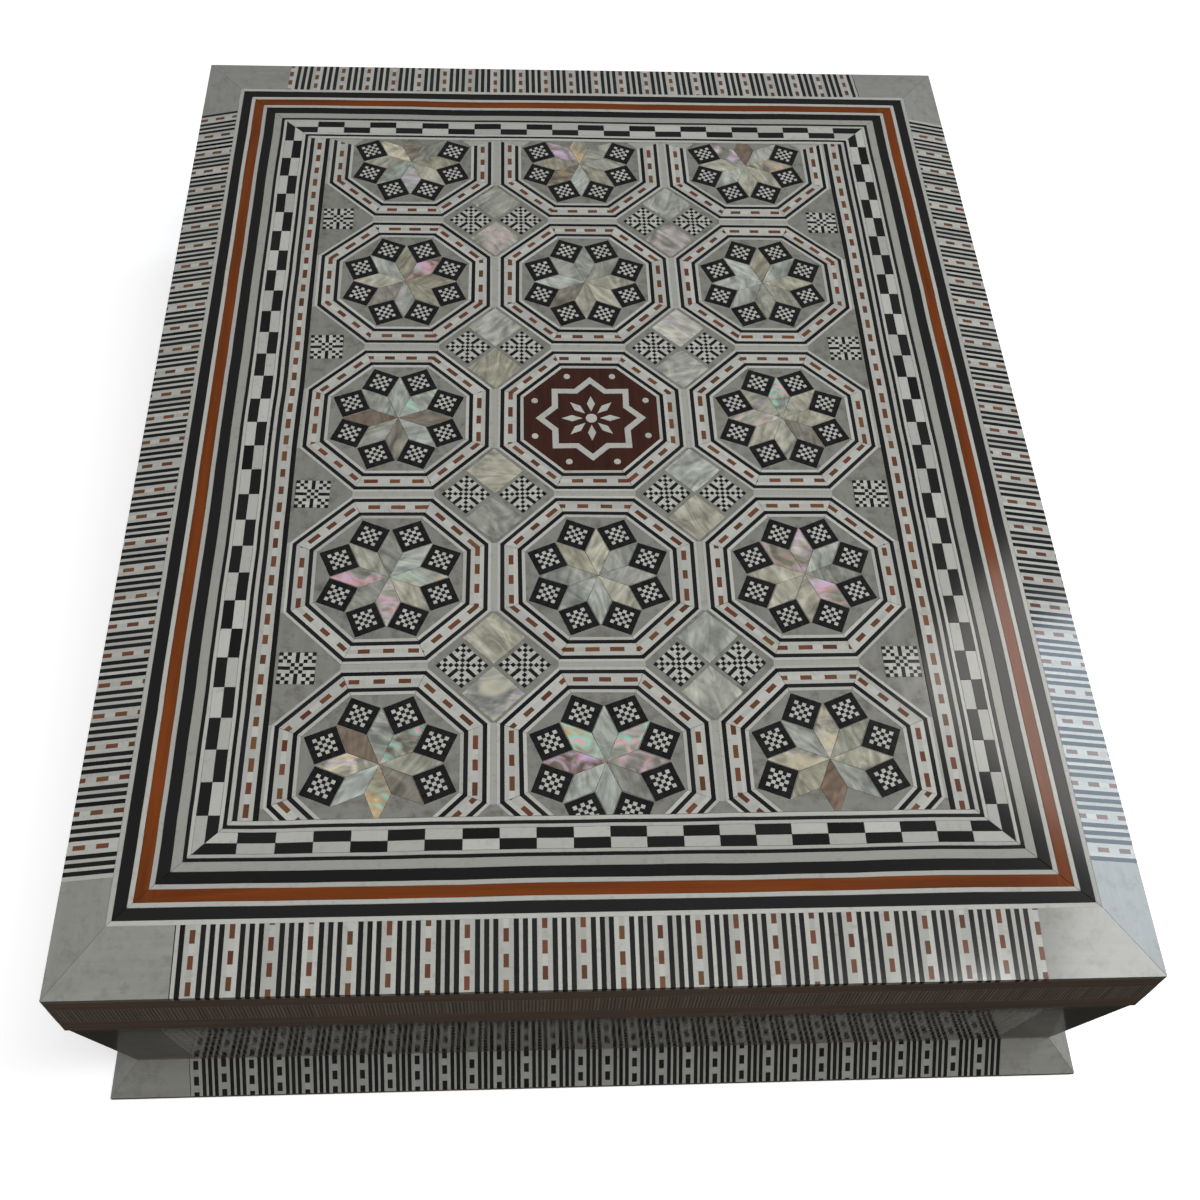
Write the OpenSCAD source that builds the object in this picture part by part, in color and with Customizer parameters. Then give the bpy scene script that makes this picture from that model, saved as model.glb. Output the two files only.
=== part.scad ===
// A lidded book box: wooden walls on a flared plinth, a hinged lid, and a skin
// of striped veneer, bands, octagons, pearl stars and small mosaic squares.
// The origin is the middle of the footprint on the table. +Z is up, X runs
// across the short side, the front faces -Y and the hinges are at the rear, +Y.
// An inset is a distance inwards from the upright side of the lid.

/* [Box] */
// Width of the lid across its upright sides
lid_w = 215; // [211:1:237]
// Length of the lid across its upright ends
lid_l = 280; // [270:1:310]
// Thickness of the felt under the base
felt_t = 1; // [0.6:0.1:2]
// How far the felt stays in from the side of the lid
felt_in = 1.5; // [0:0.5:4]
// Height of the plinth rails
plinth_h = 7; // [5:0.5:12]
// How far the foot of the plinth stands out past the lid
foot_out = 1.5; // [0:0.5:4]
// Height of the upright lip at the foot of the plinth
foot_lip_h = 1; // [0.5:0.1:2]
// Inset of the waist, where the walls meet the plinth
waist_in = 5; // [3:0.5:7]
// Inset of the inner side of the plinth rails
plinth_in = 16; // [13:0.5:17]
// Height of the walls
wall_h = 38; // [30:1:60]
// Inset of the outer side of the walls at the rim
rim_in = 0.3; // [0:0.1:1]
// Inset of the inner side of the walls
wall_in = 18; // [17.5:0.5:22]

/* [Lid] */
// Height of the upright side of the lid
lid_side_h = 17.7; // [15:0.1:26]
// Width of the sloped border at the left and right of the lid
side_border_w = 10.4; // [8:0.1:13]
// Width of the sloped border at the front and rear of the lid
end_border_w = 13.6; // [8:0.1:14]
// Height of the sloped border of the lid
bevel_h = 2; // [1:0.5:4]
// Thickness of the lid panel
panel_t = 6; // [4:0.5:8]
// Inset of the inner side of the lid rails
rail_in = 16; // [14:0.5:17]

/* [Skin] */
// Thickness of the veneer on the walls, plinth and lid sides
skin_t = 1.2; // [0.8:0.1:1.6]
// Thickness of the inlay on the top of the lid
inlay_t = 1.2; // [0.8:0.1:2]
// Glue line between neighbouring pieces
glue = 0.05; // [0.02:0.01:0.1]
// Length of the plain corner plates on the sloped border of the lid
bevel_plate_leg = 23.6; // [14:0.2:30]
// Length of the plain corner plates on the walls
wall_plate_leg = 17.5; // [10:0.5:30]
// Length of the plain corner plates on the plinth
plinth_plate_leg = 16; // [8:0.5:30]
// Height of the plain wooden strip under the rim
rim_strip_h = 2.5; // [1.5:0.1:5]
// Height of the same strip at the rear, where the hinge groove cuts into it
rear_strip_h = 6; // [5.8:0.1:8]
// Height of the plain wooden strip above the plinth
waist_strip_h = 2; // [1:0.1:4]
// Height of the lower wooden strip on the side of the lid
lid_lower_h = 5; // [2:0.5:6]
// Height of the upper wooden strip on the side of the lid
lid_upper_h = 4.2; // [2:0.1:6]

/* [Linings] */
// Thickness of the floor lining
floor_lining_t = 1.5; // [1:0.1:3]
// Thickness of the linings on the walls
wall_lining_t = 1.2; // [0.8:0.1:2]
// Height of bare wood left between the wall linings and the rim
lining_drop = 1.5; // [0.5:0.5:5]
// Thickness of the lining under the lid panel
lid_lining_t = 1.2; // [0.8:0.1:2]

/* [Bands] */
// Width of the white line along the sloped border
edge_line_w = 1.05; // [0.6:0.05:1.6]
// Width of each black band
black_band_w = 2.5; // [1.5:0.1:3]
// Width of the white lines on both sides of the orange band
band_line_w = 1.05; // [0.6:0.05:1.6]
// Width of the orange wood band
orange_band_w = 2.6; // [1.5:0.1:3]
// Width of the pale band outside the checker
pale_band_w = 2.1; // [1:0.1:3]
// Width of the black lines on both sides of the checker
guard_line_w = 0.75; // [0.4:0.05:1]
// Width of the white lines next to the checker blocks
checker_line_w = 0.8; // [0.4:0.05:1]
// Width of one row of checker blocks
checker_row_w = 2.35; // [1.5:0.05:3]
// Length of one checker block
checker_len = 7.4; // [5:0.1:12]
// Width of the white line round the field
field_line_w = 0.95; // [0.5:0.05:1.5]
// Width of the dashed strips at the left and right of the field
dash_strip_w = 5.1; // [3:0.1:6]

/* [Field] */
// Columns of octagons across the field
columns = 3; // [2:1:4]
// Gap between neighbouring octagons
octagon_gap = 1.4; // [1:0.1:4]
// How far the middle octagon sits towards the rear
pattern_shift = 1.2; // [0:0.1:3]
// Width of the strips that frame an octagon
frame_strip_w = 6.3; // [4:0.1:6.8]
// Room between the points of a star and the frame
star_margin = 3.1; // [2:0.1:5]
// Room between a star and its tiles
tile_gap = 0.3; // [0.2:0.05:0.5]
// How much shorter the side of a tile is than that of a diamond
tile_less = 0.4; // [0.4:0.1:2]
// How much shorter a mosaic square is than a quarter of a crossing
mosaic_less = 2.5; // [2:0.1:4]
// Room between a mosaic square and the middle of its crossing
mosaic_gap = 1.1; // [0.5:0.1:2]
// How much shorter a pearl square is than a quarter of a crossing
pearl_less = 0.9; // [0.7:0.1:3]
// Room between an edge mosaic square and the edge of the field
edge_margin = 0.7; // [0.5:0.1:2]
// Room between the middle rosette's two crossed squares and the frame
rosette_margin = 6.9; // [6:0.1:9]
// Width of the rosette's outline
rosette_line_w = 1.5; // [0.8:0.1:2]
// Gap at both ends of the rosette's petals
petal_gap = 0.8; // [0.4:0.1:1.2]
// Width of a petal of the rosette
petal_w = 2; // [1:0.1:2.2]
// Radius of the rosette's middle
rosette_mid_r = 1.4; // [0.8:0.1:1.6]
// Radius of the dots between the rosette and its frame
rosette_dot_r = 0.8; // [0.4:0.1:1]
// Least length of a piece that the edge of the field cuts
least_piece = 1; // [0.5:0.1:2]

/* [Hinges] */
// Gap between the closed lid and the rim
seam_gap = 0.3; // [0.3:0.05:0.5]
// Depth of the groove along the rear seam that holds the hinge barrels
groove_depth = 4.5; // [3.5:0.1:4.5]
// Slope of each side of that groove, half the angle that the lid opens to
groove_angle = 50; // [45:1:52]
// Distance of the groove's sides from the hinge axis
groove_clear = 0.2; // [0.15:0.05:0.3]
// Distance of each hinge from the middle
hinge_x = 62; // [40:1:75]
// Length of a hinge
hinge_len = 32; // [25:1:40]
// Barrels along a hinge, taken in turn by the two leaves
knuckles = 5; // [3:2:7]
// Gap between neighbouring barrels
knuckle_gap = 0.3; // [0.2:0.05:0.5]
// Depth of a hinge leaf
leaf_depth = 10; // [9:0.5:11]
// Thickness of a hinge leaf
leaf_t = 1; // [0.8:0.1:1.2]
// Outer radius of the hinge barrel
barrel_r = 2.2; // [1.9:0.1:2.4]
// Radius of the hinge pin
pin_r = 1; // [0.8:0.05:1.2]
// Radius of the flat heads of the hinge pin
pin_head_r = 1.5; // [1.3:0.05:1.8]
// Thickness of the flat heads of the hinge pin
pin_head_t = 0.6; // [0.4:0.1:1]
// Radial clearance of the turning barrels on the pin
pin_clear = 0.05; // [0.03:0.01:0.08]
// Room round the moving parts of a hinge
hinge_room = 0.35; // [0.3:0.05:0.45]
// Radius of a screw's shank
screw_r = 1; // [0.8:0.05:1.1]
// Radius of a screw's head
screw_head_r = 1.8; // [1.5:0.05:2]
// Length of a screw
screw_len = 8; // [6:0.5:9]
// Distance between the screws of a leaf
screw_step = 11; // [8:0.5:12]

/* [Hidden] */
$fn = 48;

// Sides of the box, in quarter turns from the front
FRONT = 0;
RIGHT = 1;
REAR = 2;
LEFT = 3;
SIDES = [FRONT, RIGHT, REAR, LEFT];

// Colours
wood = [0.42, 0.24, 0.13];
dark_wood = [0.30, 0.18, 0.11];
orange_wood = [0.55, 0.25, 0.10];
black = [0.10, 0.10, 0.11];
bone = [0.82, 0.82, 0.77];
stripe = [0.60, 0.60, 0.57];
plate = [0.62, 0.62, 0.58];
pearl = [0.74, 0.72, 0.63];
ground = [0.57, 0.56, 0.53];
velvet = [0.30, 0.05, 0.09];
felt = [0.12, 0.22, 0.15];
brass = [0.78, 0.62, 0.30];

// How far cutting shapes run past what they cut, and mitres stop short of the middle
past = 20;
mitre_end = 1;

// Heights
plinth_top = felt_t + plinth_h;
seam_z = plinth_top + wall_h;
lid_z = seam_z + seam_gap;
lid_edge_z = lid_z + lid_side_h;
top_z = lid_edge_z + bevel_h;
inlay_z = top_z - inlay_t;
panel_z = inlay_z - glue - panel_t;
lid_skin_top = lid_edge_z - skin_t - glue;
slope_foot = felt_t + foot_lip_h;

// Widths that follow from the plinth's slope
plinth_slope = atan2(plinth_top - slope_foot, waist_in + foot_out);
plinth_skin_x = skin_t / sin(plinth_slope);

// Bands on the lid from the sloped border inwards, by place in the list
BANDS = [
  edge_line_w, black_band_w, band_line_w, orange_band_w, band_line_w, black_band_w, pale_band_w,
  guard_line_w, checker_line_w, checker_row_w, checker_row_w, checker_line_w, guard_line_w, field_line_w
];
WHITE_BANDS = [0, 2, 4, 8, 11, 13];
GUARD_BANDS = [7, 12];
CHECKER_BANDS = [9, 10];
OUTER_BLACK = 1;
ORANGE = 3;
INNER_BLACK = 5;
PALE = 6;

// Field inside the bands
field_half_x = lid_w / 2 - band_in(RIGHT, len(BANDS)) - dash_strip_w;
field_half_y = lid_l / 2 - band_in(REAR, len(BANDS));
pitch = 2 * field_half_x / columns;
octagon_w = pitch - octagon_gap;
octagon_in_w = octagon_w - 2 * frame_strip_w;
octagon_r = octagon_w / 2 / cos(22.5);
rows_out = floor((field_half_y + octagon_w / 2) / pitch);
ROWS = [-rows_out:rows_out];
CROSSING_ROWS = [0.5 - rows_out:rows_out - 0.5];
COLUMNS = [(1 - columns) / 2:(columns - 1) / 2];
CROSSING_COLUMNS = [1 - columns / 2:columns / 2 - 1];

// Stars and tiles inside an octagon
star_tip_r = octagon_in_w / 2 - star_margin;
diamond_side = star_tip_r / 2 / cos(22.5);
tile_side = diamond_side - tile_less;
tile_r = diamond_side + tile_side / sqrt(2) + tile_gap;

// Squares between the octagons: a crossing has four quarters
quarter = pitch / sqrt(2) - octagon_w / 2;
mosaic_side = quarter - mosaic_less;
pearl_side = quarter - pearl_less;
mosaic_out = mosaic_side / sqrt(2) + mosaic_gap;
edge_mosaic_in = mosaic_side / 2 + edge_margin;

// Rosette in the middle octagon
rosette_half = octagon_in_w / 2 - rosette_margin;
petal_len = rosette_half - rosette_line_w - rosette_mid_r - 2 * petal_gap;

// Hinge axis and groove
hinge_y = lid_l / 2 - groove_depth;
hinge_z = seam_z + seam_gap / 2;
groove_y = hinge_y - groove_clear / sin(groove_angle);
groove_reach = groove_depth + past;
knuckle_len = hinge_len / knuckles;
plate_edge_y = hinge_y - barrel_r - hinge_room;
screw_y = hinge_y - (leaf_depth + barrel_r + hinge_room) / 2;

// Half the size of the lid square to a side, and along it
function half_depth(side) = side % 2 == 0 ? lid_l / 2 : lid_w / 2;
function half_span(side) = side % 2 == 0 ? lid_w / 2 : lid_l / 2;

// Sum of the first count entries of a list
function sum_to(list, count) = count <= 0 ? 0 : list[count - 1] + sum_to(list, count - 1);

// Width of the sloped border on a side, and inset of the outer edge of a band there
function border_w(side) = side % 2 == 0 ? end_border_w : side_border_w;
function band_in(side, place) = border_w(side) + sum_to(BANDS, place);

// Inset of the outer side of the veneered walls at a height
function wall_out(z) = waist_in + (rim_in - waist_in) * (z - plinth_top) / wall_h;

// Height of the sloped border on a side at an inset
function bevel_z(side, inset) = lid_edge_z + bevel_h * inset / border_w(side);

// Whether a point round an octagon lies far enough inside the field
function in_field(row, along) = abs(row * pitch + pattern_shift + along) < field_half_y - least_piece;

// Whether a strip of an octagon's frame has an end that lies far enough inside the field
function strip_in_field(row, step) =
  in_field(row, octagon_r * sin(45 * step - 22.5)) || in_field(row, octagon_r * sin(45 * step + 22.5));

// Profile of a skin strip on the walls between two heights
function wall_skin(low, high) = [
  [wall_out(low), low], [wall_out(high), high],
  [wall_out(high) + skin_t, high], [wall_out(low) + skin_t, low]
];

// Profile of a skin strip on the upright side of the lid
function lid_skin(low, high) = [[0, low], [0, high], [skin_t, high], [skin_t, low]];

// Profile of an inlay band on one side of the top of the lid
function band_profile(side, place) =
  let (near = band_in(side, place) + glue / 2, far = band_in(side, place + 1) - glue / 2)
    [[near, inlay_z], [near, top_z], [far, top_z], [far, inlay_z]];

// Profile of the veneer on one side of the sloped border
function bevel_skin(side) = [
  [0, lid_edge_z], [border_w(side), top_z], [border_w(side), top_z - skin_t], [0, lid_edge_z - skin_t]
];

// Place in plan on the mitre between a side's border and the next one, as a share of the border's width
function border_mitre(side, share) = [
  half_span(side) - share * border_w(side + 1), share * border_w(side) - half_depth(side)
];

// Profile of the veneer on the plinth's slope
function plinth_skin() = [
  [-foot_out, slope_foot], [waist_in, plinth_top],
  [waist_in + plinth_skin_x, plinth_top], [plinth_skin_x - foot_out, slope_foot]
];

// A profile of insets and heights drawn along a side from one place to another
module run(side, profile, from, to) {
  rotate([0, 0, 90 * side])
    translate([from, -half_depth(side), 0])
      rotate([90, 0, 90])
        linear_extrude(to - from) polygon(profile);
}

// The part of the box on one side, between two mitres that run from one place in plan to another
module sector(side, from, to) {
  rotate([0, 0, 90 * side])
    linear_extrude(top_z + past)
      polygon([
        [glue - from[0], from[1]], [from[0] - glue, from[1]],
        [to[0] - glue, to[1]], [glue - to[0], to[1]]
      ]);
}

// The part that belongs to one side, between mitres from the corners of the lid
module mitre_sector(side) {
  reach = min(lid_w, lid_l) / 2 - mitre_end;
  corner = [half_span(side), -half_depth(side)];
  sector(side, corner + [past, -past], corner + [-reach, reach]);
}

// The part of the sloped border on one side, between mitres to the corners of the flat top
module border_sector(side) {
  sector(side, border_mitre(side, -1), border_mitre(side, 2));
}

// The part of the flat top on one side, between the mitres of its bands
module band_sector(side) {
  corner = border_mitre(side, 1);
  sector(side, corner + [mitre_end, -mitre_end], corner + 2 * [-past, past]);
}

// A mitred strip along a whole side
module strip(side, profile) {
  intersection() {
    run(side, profile, -half_span(side) - past, half_span(side) + past);
    mitre_sector(side);
  }
}

// The stretch of a strip between its two corner plates
module middle_strip(side, profile, leg) {
  run(side, profile, leg + glue - half_span(side), half_span(side) - leg - glue);
}

// The two corner plates at the ends of a strip, within the children
module corner_plates(side, profile, leg) {
  intersection() {
    union() {
      run(side, profile, -half_span(side) - past, leg - half_span(side));
      run(side, profile, half_span(side) - leg, half_span(side) + past);
    }
    children();
  }
}

// The groove along the rear seam, open to the rear
module rear_groove() {
  rise = groove_reach * tan(groove_angle);
  translate([-lid_w / 2 - past, 0, 0])
    rotate([90, 0, 90])
      linear_extrude(lid_w + 2 * past)
        polygon([
          [groove_y, hinge_z],
          [groove_y + groove_reach, hinge_z + rise],
          [groove_y + groove_reach, hinge_z - rise]
        ]);
}

// What is left of the children beside the rear groove
module with_groove() {
  difference() {
    children();
    rear_groove();
  }
}

// The children at the two hinges
module at_hinges() {
  for (way = [-1, 1]) translate([way * hinge_x, 0, 0]) children();
}

// The children at the screws of one leaf
module at_screws() {
  for (place = [-1, 0, 1]) translate([place * screw_step, screw_y, 0]) children();
}

// The children turned over from the rim to the underside of the lid
module on_lid_side() {
  translate([0, 0, 2 * hinge_z]) mirror([0, 0, 1]) children();
}

// A round bar along X through the hinge axis
module axis_bar(radius, length) {
  translate([-length / 2, hinge_y, hinge_z]) rotate([0, 90, 0]) cylinder(r = radius, h = length);
}

// Room in the rim for a leaf, the barrel and the screws
module hinge_pocket() {
  at_hinges() {
    axis_bar(barrel_r + hinge_room, hinge_len + 2 * (pin_head_t + hinge_room));
    translate([-hinge_len / 2 - glue, hinge_y - leaf_depth - glue, seam_z - leaf_t - glue])
      cube([hinge_len + 2 * glue, leaf_depth, leaf_t + past / 2]);
    at_screws()
      translate([0, 0, seam_z - screw_len - glue])
        cylinder(r = screw_r + glue, h = screw_len);
  }
}

// One leaf that lies in the rim, with its barrels at every other place from first
module hinge_leaf(first, bore_r) {
  difference() {
    union() {
      translate([-hinge_len / 2, hinge_y - leaf_depth, seam_z - leaf_t])
        cube([hinge_len, plate_edge_y - hinge_y + leaf_depth, leaf_t]);
      for (place = [first:2:knuckles - 1])
        translate([(place + 0.5) * knuckle_len - hinge_len / 2, 0, 0]) {
          axis_bar(barrel_r, knuckle_len - knuckle_gap);
          translate([(knuckle_gap - knuckle_len) / 2, plate_edge_y - glue, seam_z - leaf_t])
            cube([knuckle_len - knuckle_gap, hinge_y - plate_edge_y + glue, leaf_t]);
        }
    }
    axis_bar(bore_r, hinge_len + past);
    at_screws() {
      translate([0, 0, seam_z - leaf_t - glue])
        cylinder(r1 = screw_r + glue, r2 = screw_head_r + glue, h = leaf_t + glue);
      translate([0, 0, seam_z - leaf_t - past / 2])
        cylinder(r = screw_r + glue, h = past / 2);
    }
  }
}

// A countersunk screw with a slot, flush with the rim
module screw() {
  slot_w = screw_r / 2;
  slot_d = leaf_t / 2;
  tip_h = screw_r * 2;
  difference() {
    union() {
      translate([0, 0, seam_z - leaf_t]) cylinder(r1 = screw_r, r2 = screw_head_r, h = leaf_t);
      translate([0, 0, seam_z - screw_len + tip_h]) cylinder(r = screw_r, h = screw_len - tip_h - leaf_t);
      translate([0, 0, seam_z - screw_len]) cylinder(r1 = screw_r / 4, r2 = screw_r, h = tip_h);
    }
    translate([-screw_head_r, -slot_w / 2, seam_z - slot_d])
      cube([2 * screw_head_r, slot_w, 2 * slot_d]);
  }
}

// Flat outline of an octagon that stands on a flat
module octagon(width) {
  rotate(22.5) circle(r = width / 2 / cos(22.5), $fn = 8);
}

// Flat outline of a square that stands on a corner
module corner_square(side) {
  rotate(45) square(side, center = true);
}

// Flat outline of a diamond of the star, with its sharp end at the middle
module diamond(room) {
  half_w = diamond_side * sin(22.5) - room;
  polygon([[room, 0], [star_tip_r / 2, half_w], [star_tip_r - room, 0], [star_tip_r / 2, -half_w]]);
}

// Flat outline of the whole star
module star() {
  polygon([for (step = [0:15]) let (r = step % 2 == 0 ? star_tip_r : diamond_side)
    [r * cos(22.5 * step), r * sin(22.5 * step)]]);
}

// Flat outlines of the tiles round a star in a row, without those past the edge of the field
module tiles_2d(row, side) {
  for (step = [0:7])
    if (in_field(row, tile_r * sin(45 * step + 22.5)))
      rotate(45 * step + 22.5) translate([tile_r, 0]) corner_square(side);
}

// Flat outlines of the two tiles that the front edge of the field cuts, in the middle octagon there
module cut_tiles_2d(side) {
  translate([0, pattern_shift - rows_out * pitch])
    for (step = [5, 6]) rotate(45 * step + 22.5) translate([tile_r, 0]) corner_square(side);
}

// Flat outline of one mitred strip of an octagon's frame, out to a distance from its middle
module frame_strip_2d(step, outer) {
  inner = octagon_in_w / 2 + glue;
  rotate(45 * step)
    polygon([
      [inner, glue - inner * tan(22.5)], [outer, glue - outer * tan(22.5)],
      [outer, outer * tan(22.5) - glue], [inner, inner * tan(22.5) - glue]
    ]);
}

// Flat outlines of the strips that frame an octagon in a row, without those past the edge of the field
module frame_2d(row) {
  for (step = [0:7]) if (strip_in_field(row, step)) frame_strip_2d(step, octagon_w / 2 - glue);
}

// Flat outlines of the ground in place of the strips that are left out
module frame_ground_2d(row) {
  for (step = [0:7]) if (!strip_in_field(row, step)) frame_strip_2d(step, pitch / 2);
}

// The children at every octagon of a row, or at every one but the middle of the field
module at_octagons(row, with_middle) {
  for (col = COLUMNS)
    if (with_middle || row != 0 || col != 0)
      translate([col * pitch, row * pitch + pattern_shift]) children();
}

// The children at every crossing between four octagons
module at_crossings() {
  for (row = CROSSING_ROWS, col = CROSSING_COLUMNS)
    translate([col * pitch, row * pitch + pattern_shift]) children();
}

// Flat outlines of the pearl squares
module pearl_2d(side) {
  for (way = [-1, 1]) translate([0, way * (pearl_side / sqrt(2) + tile_gap)]) corner_square(side);
}

// Flat outlines of the mosaic squares, at the crossings and along the two sides
module mosaic_2d(side) {
  at_crossings() for (way = [-1, 1]) translate([way * mosaic_out, 0]) corner_square(side);
  for (row = CROSSING_ROWS, way = [-1, 1])
    translate([way * (field_half_x - edge_mosaic_in), row * pitch + pattern_shift])
      square(side, center = true);
}

// Flat outline of the rosette, with room added round every piece
module rosette_2d(room) {
  difference() {
    for (turn = [0, 45]) rotate(turn) square(2 * (rosette_half + room), center = true);
    for (turn = [0, 45]) rotate(turn) square(2 * (rosette_half - rosette_line_w - room), center = true);
  }
  for (step = [0:7]) rotate(45 * step) {
    translate([rosette_mid_r + petal_gap - room, 0])
      polygon([
        [0, 0], [petal_len / 2 + room, petal_w / 2 + room],
        [petal_len + 2 * room, 0], [petal_len / 2 + room, -petal_w / 2 - room]
      ]);
    rotate(22.5) translate([octagon_in_w / 2 - 2 * rosette_dot_r, 0]) circle(r = rosette_dot_r + room);
  }
  circle(r = rosette_mid_r + room);
}

// The children cut to the field and made into inlay
module field_inlay() {
  translate([0, 0, inlay_z])
    linear_extrude(inlay_t)
      intersection() {
        children();
        square(2 * [field_half_x - glue, field_half_y - glue], center = true);
      }
}

// Place of the joint at a step from the middle; the last block runs on into the mitre
function checker_joint(step, reach) = step * checker_len * (abs(step) * checker_len < reach ? 1 : 2);

// Every other checker block, from shade 0 or 1
module checker_blocks(shade) {
  for (side = SIDES, place = CHECKER_BANDS) {
    reach = half_span(side) - band_in(side + 1, place + 1) - least_piece;
    count = ceil(reach / checker_len);
    intersection() {
      union()
        for (step = [-count:count - 1])
          if (abs(step + place) % 2 == shade)
            run(
              side, band_profile(side, place),
              checker_joint(step, reach) + glue / 2, checker_joint(step + 1, reach) - glue / 2
            );
      band_sector(side);
    }
  }
}

// Inlay bands of one kind all round the lid
module bands(places) {
  for (side = SIDES, place = places)
    intersection() {
      run(side, band_profile(side, place), -half_span(side), half_span(side));
      band_sector(side);
    }
}

// A plinth rail with its sloped seat for the veneer
module plinth_rail(side) {
  seat = plinth_skin_x + glue;
  color(wood)
    strip(side, [
      [-foot_out, felt_t], [-foot_out, slope_foot - glue], [seat - foot_out, slope_foot - glue],
      [waist_in + seat, plinth_top], [plinth_in, plinth_top], [plinth_in, felt_t]
    ]);
}

// A wall that leans outwards, with an upright inner side
module wall(side) {
  seat = skin_t + glue;
  color(wood)
    difference() {
      strip(side, [
        [waist_in + seat, plinth_top], [rim_in + seat, seam_z], [wall_in, seam_z], [wall_in, plinth_top]
      ]);
      rear_groove();
      if (side == REAR) hinge_pocket();
    }
}

// Striped veneer on one wall
module wall_veneer(side) {
  high = seam_z - (side == REAR ? rear_strip_h : rim_strip_h) - glue;
  color(stripe)
    middle_strip(side, wall_skin(plinth_top + waist_strip_h + glue, high), wall_plate_leg);
}

// Room over the seat of the veneer on one side's slope
module above_slope(side) {
  seat = skin_t + glue;
  run(
    side,
    [
      [-past, bevel_z(side, -past) - seat], [border_w(side), top_z - seat],
      [border_w(side), top_z + past], [-past, top_z + past]
    ],
    -half_span(side) - past, half_span(side) + past
  );
}

// A lid rail with a rebate for the panel
module lid_rail(side) {
  seat = skin_t + glue;
  edge = border_w(side);
  color(wood)
    difference() {
      strip(side, [
        [seat, lid_z], [seat, bevel_z(side, seat) - seat], [edge, top_z - seat], [edge, panel_z],
        [rail_in, panel_z], [rail_in, lid_z]
      ]);
      for (turn = [1, 3]) above_slope((side + turn) % len(SIDES));
      rear_groove();
      if (side == REAR) on_lid_side() hinge_pocket();
    }
}

// Striped veneer on one side of the sloped border
module lid_border(side) {
  color(stripe) middle_strip(side, bevel_skin(side), bevel_plate_leg);
}

// A flat sheet inside insets from the sides and from the ends
module sheet(side_in, end_in, low, thickness) {
  translate([side_in - lid_w / 2, end_in - lid_l / 2, low])
    cube([lid_w - 2 * side_in, lid_l - 2 * end_in, thickness]);
}

module base_felt() { color(felt) sheet(felt_in, felt_in, 0, felt_t); }

module base_board() {
  color(dark_wood) sheet(plinth_in + glue, plinth_in + glue, felt_t, plinth_h - glue);
}

module plinth_front() { plinth_rail(FRONT); }
module plinth_right() { plinth_rail(RIGHT); }
module plinth_rear() { plinth_rail(REAR); }
module plinth_left() { plinth_rail(LEFT); }

module plinth_veneers() {
  color(stripe) for (side = SIDES) middle_strip(side, plinth_skin(), plinth_plate_leg);
}

module plinth_corner_plates() {
  color(plate) for (side = SIDES) corner_plates(side, plinth_skin(), plinth_plate_leg) mitre_sector(side);
}

module front_wall() { wall(FRONT); }
module right_wall() { wall(RIGHT); }
module rear_wall() { wall(REAR); }
module left_wall() { wall(LEFT); }

module waist_strips() {
  color(dark_wood) for (side = SIDES) strip(side, wall_skin(plinth_top + glue, plinth_top + waist_strip_h));
}

module rim_strips() {
  color(dark_wood)
    with_groove()
      for (side = SIDES)
        strip(side, wall_skin(seam_z - (side == REAR ? rear_strip_h : rim_strip_h), seam_z));
}

module wall_veneer_front() { wall_veneer(FRONT); }
module wall_veneer_right() { wall_veneer(RIGHT); }
module wall_veneer_rear() { wall_veneer(REAR); }
module wall_veneer_left() { wall_veneer(LEFT); }

module wall_corner_plates() {
  color(plate)
    with_groove()
      for (side = SIDES)
        corner_plates(
          side,
          wall_skin(
            plinth_top + waist_strip_h + glue,
            seam_z - (side == REAR ? rear_strip_h : rim_strip_h) - glue
          ),
          wall_plate_leg
        ) mitre_sector(side);
}

module floor_lining() { color(velvet) sheet(wall_in + glue, wall_in + glue, plinth_top, floor_lining_t); }

module wall_linings() {
  low = plinth_top + floor_lining_t + glue;
  high = seam_z - lining_drop;
  near = wall_in + glue;
  far = near + wall_lining_t;
  color(velvet) for (side = SIDES) strip(side, [[near, low], [near, high], [far, high], [far, low]]);
}

module body_hinge_leaves() { color(brass) at_hinges() hinge_leaf(0, pin_r + glue / 2); }

module hinge_pins() {
  color(brass)
    at_hinges() {
      axis_bar(pin_r, hinge_len);
      for (way = [-1, 1])
        translate([way * (hinge_len + pin_head_t - knuckle_gap) / 2, 0, 0])
          axis_bar(pin_head_r, pin_head_t - glue);
    }
}

module body_hinge_screws() { color(brass) at_hinges() at_screws() screw(); }

module lid_front_rail() { lid_rail(FRONT); }
module lid_right_rail() { lid_rail(RIGHT); }
module lid_rear_rail() { lid_rail(REAR); }
module lid_left_rail() { lid_rail(LEFT); }
module lid_panel() { color(wood) sheet(side_border_w + glue, end_border_w + glue, panel_z, panel_t); }

module lid_lining() {
  color(velvet) sheet(rail_in + glue, rail_in + glue, panel_z - lid_lining_t, lid_lining_t - glue);
}

module lid_side_lower_strips() {
  color(dark_wood)
    with_groove()
      for (side = SIDES)
        strip(side, lid_skin(lid_z, (side == REAR ? hinge_z + rear_strip_h : lid_z + lid_lower_h) - glue));
}

module lid_side_line_bands() {
  color(dark_wood)
    with_groove()
      for (side = SIDES)
        strip(side, lid_skin(
          side == REAR ? hinge_z + rear_strip_h : lid_z + lid_lower_h,
          lid_skin_top - lid_upper_h - glue
        ));
}

module lid_side_upper_strips() {
  color(dark_wood) for (side = SIDES) strip(side, lid_skin(lid_skin_top - lid_upper_h, lid_skin_top));
}

module lid_border_front() { lid_border(FRONT); }
module lid_border_right() { lid_border(RIGHT); }
module lid_border_rear() { lid_border(REAR); }
module lid_border_left() { lid_border(LEFT); }

module lid_corner_plates() {
  color(plate) for (side = SIDES) corner_plates(side, bevel_skin(side), bevel_plate_leg) border_sector(side);
}

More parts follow.
